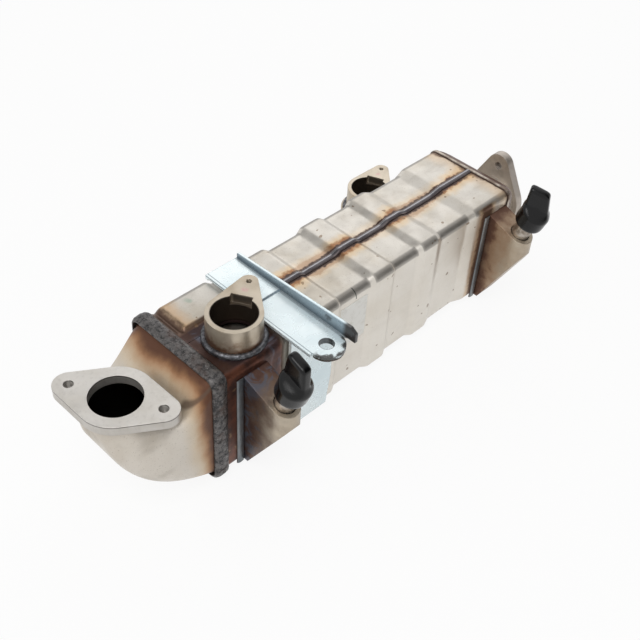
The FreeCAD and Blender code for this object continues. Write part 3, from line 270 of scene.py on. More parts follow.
class Tree(Group):
    """A material, with masks and a colour that is laid on in coats.

    Lengths are in metres, in the row frame, and tones are in parts of 255.
    """

    def __init__(self, name):
        self.material = bpy.data.materials.new(name)
        super().__init__(self.material)
        self.shader = self.nodes["Principled BSDF"]
        self.place = self.new("ShaderNodeTexCoord")["Object"]
        self.x, self.y, self.z = self.new("ShaderNodeSeparateXYZ", {0: self.place})
        self.coat = None

    def add(self, total, *others):
        """Add numbers or sockets up."""
        for other in others:
            total = self.math("ADD", total, other)
        return total

    def times(self, product, *others):
        """Multiply numbers or sockets."""
        for other in others:
            product = self.math("MULTIPLY", product, other)
        return product

    def off(self, value, middle):
        """Give how far a value lies from a middle."""
        return self.math("ABSOLUTE", self.math("SUBTRACT", value, middle))

    def stripe(self, value, middle, reach, core):
        """Mask a stripe about a middle: full up to its core, gone at its reach."""
        return self.fade(self.off(value, middle), reach, core)

    def noise(self, scale, detail=4.0, roughness=0.6, stretch=(1.0, 1.0, 1.0), bend=0.0):
        """Give cloudy noise, stretched along the axes or bent where that is asked."""
        place = self.new("ShaderNodeMapping", {"Vector": self.place, "Scale": stretch})[0]
        return self.new("ShaderNodeTexNoise", {"Vector": place, "Scale": scale, "Detail": detail,
                                               "Roughness": roughness, "Distortion": bend})[0]

    def wander(self, cloud, reach):
        """Turn noise into an uneven shift of an edge."""
        return self.fade(cloud, 0.25, 0.75, -reach, reach)

    def gloss(self, scale, low, high, detail=4.0):
        """Let the roughness drift between two values."""
        return self.fade(self.noise(scale, detail), 0.3, 0.7, low, high)

    def ring(self, centre, wobble=0.0):
        """Give the distance from an upright axis, with an uneven edge."""
        middle = row(*centre, 0)
        squares = [self.math("POWER", self.math("SUBTRACT", axis, at), 2.0)
                   for axis, at in ((self.x, middle.x), (self.y, middle.y))]
        return self.add(self.math("SQRT", self.add(*squares)), wobble)

    def spot(self, point, radius, wobble=0.0):
        """Mask a small smudge about a point of the core frame."""
        away = self.new("ShaderNodeVectorMath", {0: self.place, 1: row(*point)},
                        operation="DISTANCE")["Value"]
        return self.fade(self.add(away, wobble), radius, radius * 0.4)

    def mix(self, share, *tones):
        """Blend two tones or colours."""
        first, second = [colour(tone) if isinstance(tone, tuple) else tone for tone in tones]
        return self.new("ShaderNodeMix", {0: share, 6: first, 7: second}, data_type="RGBA")[2]

    def start(self, cloud, low, high, first, second):
        """Start the colour with two tones in clouds."""
        self.coat = self.mix(self.fade(cloud, low, high), first, second)

    def paint(self, mask, tone, share=1.0):
        """Lay a share of a tone over the coats below it, where a mask or all of several say."""
        if isinstance(mask, tuple):
            mask = self.times(*mask)
        self.coat = self.mix(self.times(mask, share) if share < 1.0 else mask, self.coat, tone)

    def close(self, roughness, metal, height, strength, distance, edge=None):
        """Fill in the shader, roughened by a height and rounded at its edges where asked."""
        bump = {"Strength": strength, "Distance": distance, "Height": height}
        if edge is not None:
            bump["Normal"] = self.new("ShaderNodeBevel", {"Radius": edge}, samples=BEVEL_SAMPLES)[0]
        normal = self.new("ShaderNodeBump", bump)[0]
        self.fill(self.shader, {"Base Color": self.coat, "Roughness": roughness,
                                "Metallic": metal, "Normal": normal})
        return self.material


# Materials
def recess_mask(tree):
    """Give 1 on the recessed bands and 0 on the raised ones."""
    total = 0.0
    for first in range(0, 16, 4):
        fall, floor, climb, crest = [row(EDGES[first + step], 0, 0).x for step in range(4)]
        inside = tree.times(tree.fade(tree.x, fall, floor), tree.fade(tree.x, crest, climb))
        total = tree.add(inside, total)
    return total


def pale_steel(tree, first=PALE, second=PALE_WARM):
    """Start with dull pickled sheet: two near tones in broad clouds with fine specks."""
    tree.start(tree.noise(16.0, 5.0), 0.42, 0.68, first, second)
    streaks = tree.noise(60.0, 3.0, stretch=(0.35, 1.0, 1.0))
    tree.paint(tree.fade(streaks, 0.5, 0.8, 0.0, 0.35), (150, 142, 130))
    tree.paint(tree.fade(tree.noise(900.0, 2.0), 0.62, 0.74, 0.0, 0.5), (118, 104, 88))


def shell_material():
    """Stamped shell: painted shade along the folded corners, a right flank painted lighter as painted
    light, heat tint beside the seam and burnt steel round the spigot.
    """
    tree = Tree("shell_sheet")
    pale_steel(tree)
    # Painted light: the right flank and its rounded corners are painted a lighter tone
    tree.paint(tree.fade(tree.y, -0.0455, -0.0475, 0.0, 0.55), (238, 232, 222))
    slow = tree.noise(30.0)
    wobble, spread = tree.wander(slow, 0.004), tree.wander(slow, 0.007)
    fine = tree.wander(tree.noise(220.0, 3.0), 0.0012)
    front = row(0, 0, 0).x
    recess = recess_mask(tree)
    top = tree.fade(tree.z, row(0, 0, 50).z, row(0, 0, 53).z)
    side = tree.math("ABSOLUTE", tree.y)
    # Painted shade: a dark band along the folded corner of the level bands, where the fold shows a dark
    # reflection
    crease = tree.math("MULTIPLY_ADD", recess, -2 * STEP / 1000, row(0, 0, 103.9).z)
    band = tree.stripe(tree.add(side, tree.z), crease, 0.0030, 0.0008)
    level = tree.fade(tree.off(recess, 0.5), 0.32, 0.47)
    tree.paint((band, level), (112, 108, 104), 0.62)
    # Heat tint beside the seam, stronger on the raised bands
    seam = tree.add(side, wobble, fine)
    raised = tree.math("MULTIPLY_ADD", recess, -0.45, 1.0)
    tree.paint((tree.fade(seam, 0.0185, 0.0075), top, raised), (212, 184, 144), 0.8)
    tree.paint((tree.fade(seam, 0.0100, 0.0062), top, raised), (156, 114, 80))
    soot = tree.fade(tree.add(side, fine), 0.0068, 0.0048)
    tree.paint((soot, top), (66, 52, 50), 0.92)
    # Front header, burnt round its spigot
    header = tree.fade(tree.x, front + 0.074, front + 0.062)
    burnt = tree.times(header, tree.fade(tree.y, 0.0128, 0.0108))
    reach = tree.ring(PORT, tree.add(spread, fine))
    for start, stop, tone in ((0.064, 0.050, (172, 124, 82)), (0.056, 0.044, (92, 56, 46)),
                              (0.046, 0.036, (58, 42, 42))):
        tree.paint((burnt, tree.fade(reach, start, stop)), tone)
    blue = tree.times(tree.fade(tree.noise(42.0, bend=1.2), 0.52, 0.66),
                      tree.fade(reach, 0.062, 0.034))
    tree.paint((burnt, blue), (96, 100, 112), 0.8)
    # Front panel: pale, brown in its groove and at its foot
    behind = tree.math("SUBTRACT", tree.x, tree.add(fine, front))
    ahead = tree.fade(tree.add(behind, wobble), 0.034, 0.016)
    tree.paint((tree.fade(tree.y, 0.0120, 0.0138), ahead), (196, 158, 112), 0.7)
    tree.paint(tree.fade(behind, 0.0205, 0.0140), (70, 48, 40), 0.92)
    wall = tree.stripe(tree.y, 0.0125, 0.0035, 0.0012)
    tree.paint((wall, header, top), (92, 70, 58), 0.85)
    # Right flank ahead of the front vent
    flank = tree.times(tree.fade(tree.y, -0.044, -0.0475),
                       tree.fade(tree.add(tree.x, spread), front + 0.066, front + 0.050))
    stain = tree.mix(tree.fade(tree.noise(40.0), 0.35, 0.65), (54, 36, 33), (112, 68, 50))
    tree.paint(flank, stain, 0.92)
    # Rear header: brown by its welds
    end = tree.math("SUBTRACT", row(LENGTH, 0, 0).x, tree.add(tree.x, fine, wobble))
    tree.paint(tree.fade(end, 0.022, 0.004), (198, 162, 116), 0.45)
    tree.paint(tree.fade(end, 0.0065, 0.0015, 0.0, 0.85), (92, 66, 52))
    weld_at = row(HOODS["rear"], 0, 0).x - 0.0045
    flank = tree.fade(tree.y, -0.0465, -0.0485)
    for width, share, tone in ((0.0165, 0.6, (200, 164, 118)), (0.0105, 0.9, (96, 66, 50))):
        near = tree.stripe(tree.add(tree.x, fine), weld_at, width, width * 0.55)
        tree.paint((near, flank), tone, share)
    # Pen stroke, green smudge and pits
    pen_at = row(PEN[0], 0, PEN[1])
    stroke = tree.add(tree.x, tree.times(tree.z, PEN_SLOPE))
    pen = tree.times(tree.stripe(stroke, pen_at.x + PEN_SLOPE * pen_at.z, 0.0008, 0.0003),
                     tree.stripe(tree.z, pen_at.z, 0.0075, 0.0068))
    tree.paint((pen, tree.fade(tree.y, -0.040, -0.0425)), (52, 62, 56), 0.85)
    tree.paint(tree.spot(GREEN_SMUDGE, 0.0055, wobble), (132, 166, 148), 0.4)
    tree.paint(tree.fade(tree.noise(130.0, 1.0, 0.4), 0.735, 0.76), (122, 98, 74), 0.7)
    return tree.close(tree.gloss(70.0, 0.30, 0.46), 0.68, tree.noise(700.0, 3.0), 0.16, 0.0005)


def duct_material():
    """Diffusers: pale sheet with brown and amber heat tint spreading from the welds, and painted shade
    on a press line and on their inner faces.
    """
    tree = Tree("duct_sheet")
    pale_steel(tree, (208, 201, 191), (196, 187, 174))
    wobble = tree.wander(tree.noise(18.0, 2.0, 0.45), 0.0045)
    fine = tree.wander(tree.noise(120.0, 3.0, 0.5), 0.0009)
    front, rear = row(0, 0, 0).x, row(LENGTH, 0, 0).x
    high = tree.fade(tree.z, -0.03, 0.008, 0.0012, 0.003)
    away = tree.math("SUBTRACT", tree.off(tree.x, (front + rear) / 2), (rear - front) / 2)
    away = tree.math("SUBTRACT", tree.add(away, wobble, fine), high)
    for start, stop, share, tone in ((0.036, 0.015, 0.65, (200, 174, 134)),
                                     (0.024, 0.012, 0.85, (158, 108, 66)),
                                     (0.017, 0.0085, 0.92, (80, 49, 36))):
        tree.paint(tree.fade(away, start, stop, 0.0, share), tone)
    # Painted shade of a press line under the flange, on the right side only
    line = tree.add(tree.z, tree.times(tree.x, -0.773))
    press = tree.times(tree.stripe(line, -0.0376, 0.0017, 0.0004),
                       tree.fade(tree.y, -0.031, -0.036), tree.fade(tree.z, -0.0125, -0.0095))
    tree.paint(press, (92, 74, 62), 0.75)
    # Painted shade: the ducts' inner faces are painted near black
    soot = tree.new("ShaderNodeAttribute", attribute_name="soot")
    tree.paint(soot["Fac"], (14, 12, 12), 0.94)
    return tree.close(tree.gloss(60.0, 0.34, 0.5), 0.62, tree.noise(520.0, 3.0), 0.2, 0.0006)


def flange_material(name, first, second, line):
    """Machined flange: fine turning marks on steel, with painted shade on its side and a painted dark
    line at its upper edge.
    """
    tree = Tree(name)
    tree.start(tree.noise(24.0), 0.4, 0.7, first, second)
    # Painted shade: the side below the top edge is darkened, with a dark line along that edge
    tree.paint(tree.fade(tree.z, -0.0008, -0.0016), (140, 134, 127), line * 0.55)
    tree.paint(tree.stripe(tree.z, -0.0008, 0.0008, 0.0003), (84, 80, 75), line)
    marks = tree.noise(240.0, 3.0, stretch=(1.0, 1.0, 0.25))
    tree.paint(tree.fade(marks, 0.5, 0.75, 0.0, 0.16), (140, 134, 126))
    return tree.close(tree.gloss(90.0, 0.3, 0.46, 3.0), 0.7, marks, 0.16, 0.0005, 0.0008)


def rough_weld_material(name, dark, light, scale, strength):
    """Coarse weld bead: dark scale with bright specks of painted highlight and brown soot."""
    tree = Tree(name)
    lumps = tree.noise(scale, 4.0, 0.7)
    tree.start(lumps, 0.35, 0.6, dark, light)
    # Painted highlights: bright specks standing in for glints on the bead
    tree.paint(tree.fade(tree.noise(900.0, 2.0), 0.62, 0.74, 0.0, strength), (184, 180, 174))
    tree.paint(tree.fade(tree.noise(50.0, 3.0), 0.52, 0.74, 0.0, 0.5), (84, 60, 48))
    return tree.close(tree.fade(lumps, 0.3, 0.7, 0.55, 0.3), 0.75, lumps, strength, 0.0016)


def seam_weld_material():
    """Long seam: smooth dark bead with a painted highlight along its crown and a faint ripple."""
    tree = Tree("weld_seam")
    cloud = tree.noise(70.0, stretch=(0.4, 1.0, 1.0))
    tree.start(cloud, 0.35, 0.65, (74, 69, 73), (104, 99, 101))
    # Painted highlight: a bright stripe along the crown
    tree.paint(tree.stripe(tree.y, 0.0004, 0.0013, 0.0), (166, 165, 168), 0.75)
    side = tree.math("ABSOLUTE", tree.y)
    tree.paint(tree.stripe(side, 0.0028, 0.0006, 0.0001), (164, 148, 144), 0.6)
    wave = {"Vector": tree.place, "Scale": 230.0, "Distortion": 2.5}
    ripple = tree.new("ShaderNodeTexWave", wave, wave_type="BANDS", bands_direction="X")[1]
    return tree.close(0.26, 0.85, ripple, 0.12, 0.0005)


def end_weld_material():
    """Rear weld: thin, mostly pale, with brown edges."""
    tree = Tree("weld_end")
    cloud = tree.noise(60.0)
    tree.start(cloud, 0.38, 0.62, (120, 104, 92), (186, 176, 164))
    edge = tree.fade(tree.off(tree.x, row(LENGTH, 0, 0).x), 0.0009, 0.0022)
    tree.paint(edge, (66, 48, 42), 0.85)
    return tree.close(0.36, 0.75, cloud, 0.2, 0.0006)


def strip_weld_material():
    """Upright vent welds: smooth grey-blue bead with dark brown edges."""
    tree = Tree("weld_strip")
    cloud = tree.noise(50.0, stretch=(1.0, 1.0, 0.4))
    tree.start(cloud, 0.35, 0.65, (104, 110, 114), (140, 142, 142))
    tree.paint(tree.fade(tree.noise(160.0, 3.0), 0.6, 0.72, 0.0, 0.7), (70, 56, 50))
    tree.paint(tree.fade(tree.y, -0.0512, -0.0504), (64, 46, 40))
    return tree.close(0.38, 0.7, tree.noise(300.0), 0.4, 0.0010)


def port_material():
    """Turned spigots: bright rim, straw tint down to a brown foot, and painted shade in the bore and in
    the notch under the rim.
    """
    tree = Tree("port_turned")
    tree.start(tree.noise(30.0), 0.4, 0.7, (194, 183, 166), (172, 158, 138))
    rim = row(0, 0, HALF_HEIGHT - STEP + PORT_RISE).z
    foot = tree.add(tree.z, tree.wander(tree.noise(90.0), 0.005))
    low = tree.fade(foot, rim - 0.010, rim - 0.021)
    tree.paint((low, tree.fade(tree.z, -0.012, 0.0)), (112, 82, 62))
    rings = (tree.ring(PORT), rim), (tree.ring(REAR_PORT), row(0, 0, REAR_RIM).z)
    # Painted shade: the bores are darkened
    inside = [tree.fade(reach, 0.0205, 0.0197) for reach, level in rings]
    tree.paint(tree.math("MAXIMUM", *inside), (44, 38, 33), 0.85)
    # Painted shade: the notch under each rim is darkened
    for reach, level in rings:
        notch = tree.times(tree.fade(reach, 0.0236, 0.0229),
                           tree.fade(tree.z, level - 0.0004, level - 0.0022))
        tree.paint(notch, (74, 64, 54), 0.8)
    pink = tree.math("MAXIMUM", *[tree.spot(point, 0.0042) for point in PINK_DABS])
    mottle = tree.fade(tree.noise(500.0, 3.0), 0.4, 0.6)
    tree.paint((pink, mottle), (206, 130, 150), 0.5)
    return tree.close(tree.gloss(80.0, 0.28, 0.42, 3.0), 0.7,
                      tree.noise(300.0, 2.0, 0.5, (0.15, 0.15, 3.0)), 0.14, 0.0005, 0.0007)


def hood_material():
    """Side boxes: pale sheet, brown near their welds."""
    tree = Tree("hood_sheet")
    pale_steel(tree, (188, 176, 158), (166, 150, 130))
    wobble = tree.wander(tree.noise(50.0), 0.008)
    out = tree.add(tree.times(tree.y, -1.0), wobble)
    vents = tree.fade(tree.y, 0.0, -0.03)
    for start, stop, share, tone in ((0.086, 0.062, 0.85, (150, 120, 94)),
                                     (0.068, 0.054, 0.95, (96, 66, 53))):
        tree.paint((vents, tree.fade(out, start, stop, 0.0, share)), tone)
    inward = tree.fade(tree.add(tree.y, wobble), 0.070, 0.052)
    tree.paint((inward, tree.fade(tree.y, 0.0, 0.03)), (112, 78, 58), 0.8)
    # Front hood: browner, with a blue-grey swirl
    front = tree.fade(tree.x, row(100, 0, 0).x, row(90, 0, 0).x)
    tree.paint((front, tree.fade(out, 0.098, 0.070)), (70, 46, 40), 0.7)
    swirl = tree.fade(tree.noise(60.0, bend=1.5), 0.46, 0.60)
    tree.paint((front, swirl, tree.fade(out, 0.080, 0.060)), (86, 92, 104), 0.75)
    return tree.close(tree.gloss(70.0, 0.34, 0.5), 0.65, tree.noise(600.0, 3.0), 0.2, 0.0006,
                      0.0015)


def nipple_material():
    """Vent nipples: bright turned tube."""
    tree = Tree("nipple_turned")
    tree.start(tree.noise(160.0, 3.0), 0.4, 0.7, (184, 176, 166), (132, 120, 108))
    return tree.close(0.3, 0.85, tree.noise(700.0, 2.0), 0.15, 0.0004, 0.0006)


def rubber_material():
    """Soft black caps: slightly dusty moulded rubber."""
    tree = Tree("cap_rubber")
    dust = tree.fade(tree.noise(110.0, 5.0, 0.65), 0.5, 0.75, 0.0, 0.15)
    tree.coat = tree.mix(dust, (3, 3, 4), (26, 26, 28))
    tree.fill(tree.shader, {"Specular IOR Level": 0.3})
    return tree.close(tree.gloss(45.0, 0.10, 0.20, 3.0), 0.0, tree.noise(900.0, 3.0), 0.15, 0.0005)


def zinc_material():
    """Bracket: bright cold-blue plating with faint scratches and clouded flats."""
    tree = Tree("bracket_plating")
    tree.start(tree.noise(14.0, 3.0, 0.5), 0.38, 0.66, (240, 250, 252), (224, 239, 244))
    scratches = tree.noise(420.0, 2.0, stretch=(0.06, 1.0, 1.0))
    tree.paint(tree.fade(scratches, 0.66, 0.8, 0.0, 0.3), (160, 174, 182))
    plate = row(0, 0, HALF_HEIGHT + PLATE_LIFT + PLATE_SHEET).z
    back = row(PLATE_BACK, 0, 0).x
    # Inner face of the rear flange: painted reflection, dark low and paler towards the top
    inner = tree.times(tree.stripe(tree.x, back, 0.0016, 0.0005),
                       tree.fade(tree.z, plate - 0.0006, plate + 0.0006))
    upward = tree.fade(tree.z, plate + 0.0005, plate + 0.0105)
    tree.paint(inner, tree.mix(upward, (84, 100, 112), (164, 184, 196)), 0.9)
    # Painted shade: dark lines in the crease at the rear flange's foot, at the fold of the front lip
    # and at the plate's step
    above = tree.fade(tree.z, plate - 0.0006, plate - 0.0001)
    lip = row(PLATE_FRONT + 2.4, 0, 0).x
    for middle, reach, share in ((back - 0.0014, 0.0024, 0.55), (lip, 0.0007, 0.7)):
        line = tree.stripe(tree.x, middle, reach, reach * 0.3)
        tree.paint((line, above), (92, 106, 116), share)
    step = tree.times(tree.stripe(tree.z, plate + 0.0008, 0.0008, 0.0005),
                      tree.fade(tree.x, back - 0.0005, back - 0.0015))
    tree.paint(step, (124, 142, 156), 0.8)
    # Bolt hole, the burnt round end and a dark dab on the flange
    fine = tree.wander(tree.noise(170.0), 0.0025)
    bolt = tree.ring(BOLT)
    tree.paint(tree.stripe(bolt, BOLT_HOLE / 1000, 0.0004, 0.0002), (44, 48, 52), 0.9)
    rim = tree.times(tree.fade(tree.add(bolt, fine), 0.0128, 0.0152),
                     tree.fade(tree.y, -0.079, -0.085))
    tree.paint(rim, (50, 42, 37), 0.92)
    tree.paint(tree.spot(FLANGE_MARK, 0.0042, fine), (58, 64, 68), 0.75)
    return tree.close(tree.gloss(60.0, 0.22, 0.34), 0.35, tree.noise(500.0, 3.0), 0.08, 0.0004,
                      0.0009)


def bundle_material():
    """Brazed tubes, fins and plates: dull grey with copper-brown braze."""
    tree = Tree("bundle_brazed")
    tree.start(tree.noise(80.0), 0.4, 0.7, (120, 114, 108), (92, 74, 60))
    return tree.close(0.5, 0.7, tree.noise(500.0, 3.0), 0.3, 0.0006)


def label_material():
    """Bare film label, slightly soiled."""
    tree = Tree("label_film")
    tree.start(tree.noise(120.0, 5.0, 0.65), 0.45, 0.75, (240, 239, 234), (220, 217, 209))
    return tree.close(0.5, 0.0, tree.noise(900.0, 3.0), 0.08, 0.0003)


# Pressed shell: (station, depth) pairs of the bands, raised and recessed in turn
BANDS = [(station, STEP if number % 4 in (1, 2) else 0.0) for number, station in enumerate(EDGES[:-1])]
BANDS.append((LENGTH, 0.0))
HEAD_START = LAND + FALL
SIDE_DEPTH = [(HEADER, 0.0)] + BANDS[1:]
TOP_RIGHT = [(0, 0.0), (LAND, 0.0), (HEAD_START, STEP), (HEADER, STEP)] + BANDS[1:]
TOP_LEFT = [(0, 0.0), (LAND, 0.0), (HEAD_START, LIP), (HEAD_START + FALL * 0.5, GROOVE),
            (HEAD_START + FALL, GROOVE), (HEAD_START + FALL * 1.8, 0.0), (HEADER, 0.0)] + BANDS[1:]


def along(pairs, x):
    """Read a bent line at a station."""
    if x <= pairs[0][0]:
        return pairs[0][1]
    for (start, first), (stop, second) in zip(pairs, pairs[1:]):
        if x <= stop:
            share = (x - start) / (stop - start) if stop > start else 1.0
            return first + (second - first) * share
    return pairs[-1][1]


def soft(pairs, x):
    """Read a bent line with its folds rounded."""
    total = 0.0
    for number in range(FOLD_SPOTS):
        total += along(pairs, x + FOLD_REACH * (2 * number / (FOLD_SPOTS - 1) - 1))
    return total / FOLD_SPOTS


def quarter_turn(across, up, bend, first, count):
    """Give the points of a quarter turn about a centre, from an angle in degrees."""
    angles = [math.radians(first + 90 * number / count) for number in range(count + 1)]
    return [(across + bend * math.cos(angle), up + bend * math.sin(angle)) for angle in angles]


def half_outline(x, hand, inset):
    """Give one open C-shaped outline of a shell half, set in by the sheet's thickness."""
    side = soft(SIDE_DEPTH, x)
    near = soft(TOP_RIGHT, x)
    far = soft(TOP_LEFT, x) if hand > 0 else near
    flank = HALF_WIDTH - side - inset
    floor = -(HALF_HEIGHT - side - inset)
    top = HALF_HEIGHT - far - inset
    bend = CORNER - inset
    points = [(across, floor) for across in (SEAM,) + FLOOR_SPOTS]
    points += quarter_turn(flank - bend, floor + bend, bend, -90, SHELL_ARC)
    points += [(flank, floor + bend + (top - floor - 2 * bend) * share) for share in FLANK_SHARES]
    points += quarter_turn(flank - bend, top - bend, bend, 0, SHELL_ARC)
    points += [(across, top) for across in TOP_SPOTS]
    for number in range(PANEL_STEPS + 1):
        share = number / PANEL_STEPS
        across = PANEL_EDGE + PANEL_RAMP * PANEL_SPREAD * (1 - 2 * share)
        points.append((across, top + (far - near) * eased(share)))
    points.append((SEAM, HALF_HEIGHT - near - inset))
    return [row(x, across * hand, up) for across, up in points]


def shell_skin(side, hand, material):
    """Press one shell half with soft folds, and cut the spigot hole in the right one."""
    stations = int(LENGTH / STATION)
    places = [LENGTH * number / stations for number in range(stations + 1)]
    outers = [half_outline(x, hand, 0.0) for x in places]
    inners = [half_outline(x, hand, WALL) for x in places]
    skin = shell_sweep("shell_skin_" + side, outers, inners, SHELL_CREASE)
    if hand < 0:
        bpy.ops.mesh.primitive_cylinder_add(vertices=96, radius=PORT_PASSAGE / 1000, depth=0.03,
                                            location=row(*PORT, HALF_HEIGHT))
        cutter = bpy.context.object
        cut = skin.modifiers.new("spigot_hole", "BOOLEAN")
        cut.operation = "DIFFERENCE"
        cut.object = cutter
        cut.solver = "EXACT"
        graph = bpy.context.evaluated_depsgraph_get()
        skin.data = bpy.data.meshes.new_from_object(skin.evaluated_get(graph))
        skin.modifiers.clear()
        skin.data.set_sharp_from_angle(angle=math.radians(SHELL_CREASE))
        bpy.data.objects.remove(cutter)
        skin.data.materials.clear()
    finish_piece(skin, material, "shell_steel", "shell_half_" + side)


# Ducts
def duct_loop(middle, upward, wide, high, bend):
    """Give a rounded box outline on a plane that holds the y axis and an upward direction."""
    points = []
    for sign, lift, first in ((1, -1, -90), (1, 1, 0), (-1, 1, 90), (-1, -1, 180)):
        corner = quarter_turn((wide - bend) * sign, (high - bend) * lift, bend, first, DUCT_ARC)
        points += [row(*(middle + Vector((0, across, 0)) + upward * up)) for across, up in corner]
    return points


def elbow_loop(share, shrink):
    """Give the front duct's outline at a share of its turn, set in by a shrink."""
    quarter = math.pi / 2 * share
    seat = RISE - PLATE
    swing = math.sin(quarter) ** SWING
    sink = 1 - math.cos(quarter) ** SINK
    swell = SWELL * math.sin(2 * quarter) ** 2
    squeeze = share ** SQUEEZE
    dip = DIVE * math.sin(math.pi * share ** 2)
    top = Vector((-(REACH - NECK) * share ** PULL, 0,
                  HALF_HEIGHT + (seat - HALF_HEIGHT) * share - dip))
    bottom = Vector((-(REACH + NECK) * swing - swell, 0, -HALF_HEIGHT + (seat + HALF_HEIGHT) * sink))
    half = HALF_WIDTH * (1 - squeeze) + NECK * squeeze
    ease = share ** ROUNDING
    bend = CORNER * (1 - ease) + (NECK - ROUND_GAP) * ease
    upward = (top - bottom).normalized()
    top -= upward * shrink * (1 + LEAN * math.sin(math.pi * share))
    bottom += upward * shrink
    high = (top - bottom).length / 2
    return duct_loop((top + bottom) / 2, upward, half - shrink, high, bend - shrink)


def cone_loop(share, shrink):
    """Give the rear duct's outline at a share of its length, set in by a shrink."""
    blend = (1 - math.cos(math.pi * share)) / 2
    high = HALF_HEIGHT * (1 - blend) + NECK * blend
    wide = HALF_WIDTH * (1 - blend) + NECK * blend
    bend = CORNER * (1 - blend) + (NECK - ROUND_GAP) * blend
    middle = Vector((LENGTH + (OUT_REACH - PLATE) * share, -OUT_SHIFT * blend, OUT_RISE * blend))
    return duct_loop(middle, Vector((0, 0, 1)), wide - shrink, high - shrink, bend - shrink)


def duct_skin(name, loop, count, material, node):
    """Skin a thin duct inside and out, and note which points lie on its gas side."""
    points, faces = [], []
    for shrink in (0.0, DUCT_WALL):
        base = len(points)
        run = [loop(number / count, shrink) for number in range(count + 1)]
        size = len(run[0])
        for ring in run:
            points += ring
        for first in range(count):
            faces += band_faces(base + first * size, base + (first + 1) * size, size)
    inner = len(points) // 2
    for end in (0, count * size):
        faces += band_faces(end, inner + end, size)
    skin = mesh_object(name, points, faces, DUCT_CREASE)
    # Inner faces are marked here for the painted shade of the duct material
    soot = skin.data.attributes.new("soot", "FLOAT", "POINT")
    gas_side = {tuple(round(value, 6) for value in point) for point in points[inner:]}
    for number, vertex in enumerate(skin.data.vertices):
        if tuple(round(value, 6) for value in vertex.co) in gas_side:
            soot.data[number].value = 1.0
    finish_piece(skin, material, "duct_steel", node)


# Weld beads
def round_box_path(wide, high, bend, step):
    """Walk a rounded box in even steps, giving points and outward directions."""
    straight_wide, straight_high = 2 * (wide - bend), 2 * (high - bend)
    quarter = math.pi / 2 * bend
    legs = [straight_high, quarter, straight_wide, quarter] * 2
    total = sum(legs)
    count = int(total / step)
    path = []
    for number in range(count):
        left = total * number / count
        leg = 0
        while left > legs[leg]:
            left -= legs[leg]
            leg += 1
        side = leg // 2
        reach, spread = (wide, high)[side % 2], (high, wide)[side % 2] - bend
        if leg % 2 == 0:
            spot, out = (reach, -spread + left), (1.0, 0.0)
        else:
            out = (math.cos(left / bend), math.sin(left / bend))
            spot = (reach - bend + bend * out[0], spread + bend * out[1])
        cos, sin = round(math.cos(math.pi / 2 * side)), round(math.sin(math.pi / 2 * side))
        path.append(((spot[0] * cos - spot[1] * sin, spot[0] * sin + spot[1] * cos),
                     (out[0] * cos - out[1] * sin, out[0] * sin + out[1] * cos)))
    return path


def shell_bead(name, start, width, crown, lumps, step, material, node):
    """Lay an uneven bead round the shell."""
    profile, fullness, blunt, least, most = 14, 0.86, 0.6, 0.12, 0.99
    loops = []
    for (y, z), (out_y, out_z) in round_box_path(HALF_WIDTH, HALF_HEIGHT, CORNER, step):
        swell = 1 + 0.10 * rough((y, z, start), 0.16, 3.0)
        section = []
        for number in range(profile + 1):
            angle = math.pi * number / profile
            x = start + width / 2 * (1 - math.cos(angle) * FULL)
            lift = crown * fullness * math.sin(angle) ** blunt * swell
            bump = rough((x, y, z), 0.55, 7.0) + 0.6 * rough((x, y, z), 1.3, 11.0)
            lift = max(least, lift + bump * lumps * math.sin(angle))
            section.append((x, min(lift, crown * most)))
        section += [(start + width * FULL, BEAD_FOOT), (start + width * (1 - FULL), BEAD_FOOT)]
        loops.append([row(x, y + out_y * lift, z + out_z * lift) for x, lift in section])
    finish_piece(sweep(name, loops, BEAD_CREASE, closed=True), material, "weld_steel", node)


def seam_bead(name, hand, material, node):
    """Lay the long seam over the pressed bands."""
    low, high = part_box(node)
    start, stop = low[0] * 1000 - REACH, high[0] * 1000 - REACH
    depth = TOP_RIGHT if hand > 0 else SIDE_DEPTH
    count = int((stop - start) / SEAM_STEP)
    profile = 10
    loops = []
    for number in range(count + 1):
        x = start + (stop - start) * number / count
        root = HALF_HEIGHT - soft(depth, x) + BEAD_FOOT
        half = SEAM_HALF * (0.93 + 0.06 * rough((x, 0, 0), 0.11, 2.0))
        crown = SEAM_CROWN * (0.92 + 0.07 * rough((x, 0, 0), 0.2, 5.0))
        angles = [math.pi * spot / profile for spot in range(profile + 1)]
        loops.append([row(x, half * math.cos(angle), hand * (root + crown * math.sin(angle)))
                      for angle in angles])
    finish_piece(sweep(name, loops, SEAM_CREASE), material, "seam_steel", node)


def spigot_bead(name, centre, base, size, material, node):
    """Lay the ring of weld at a spigot's foot, with ripples round it."""
    turns, profile, ripples, foot = 132, 8, 34, 0.1
    loops = []
    for number in range(turns):
        angle = 2 * math.pi * number / turns
        lump = rough((math.cos(angle) * 9, math.sin(angle) * 9, base), 0.5)
        ripple = 1 + 0.05 * math.sin(angle * ripples) + 0.12 * lump
        reach = PORT_RIM + BEAD_FOOT
        section = [(reach, foot)]
        for spot in range(profile + 1):
            tilt = math.pi / 2 * spot / profile
            swell = size * (0.80 + 0.16 * math.sin(tilt * 2)) * ripple
            swell = min(swell, size * 0.985 / max(math.cos(tilt), math.sin(tilt)))
            section.append((reach + swell * math.cos(tilt), foot + swell * math.sin(tilt)))
        ring = []
        for out, up in section:
            x, y = centre[0] + out * math.cos(angle), centre[1] + out * math.sin(angle)
            lump = 0.16 * rough((x, y, up), 0.9, 4.0) if out > reach + 0.5 else 0.0
            ring.append(row(x + lump * math.cos(angle), y + lump * math.sin(angle), base + up))
        loops.append(ring)
    finish_piece(sweep(name, loops, BEAD_CREASE, closed=True), material, "weld_steel", node)


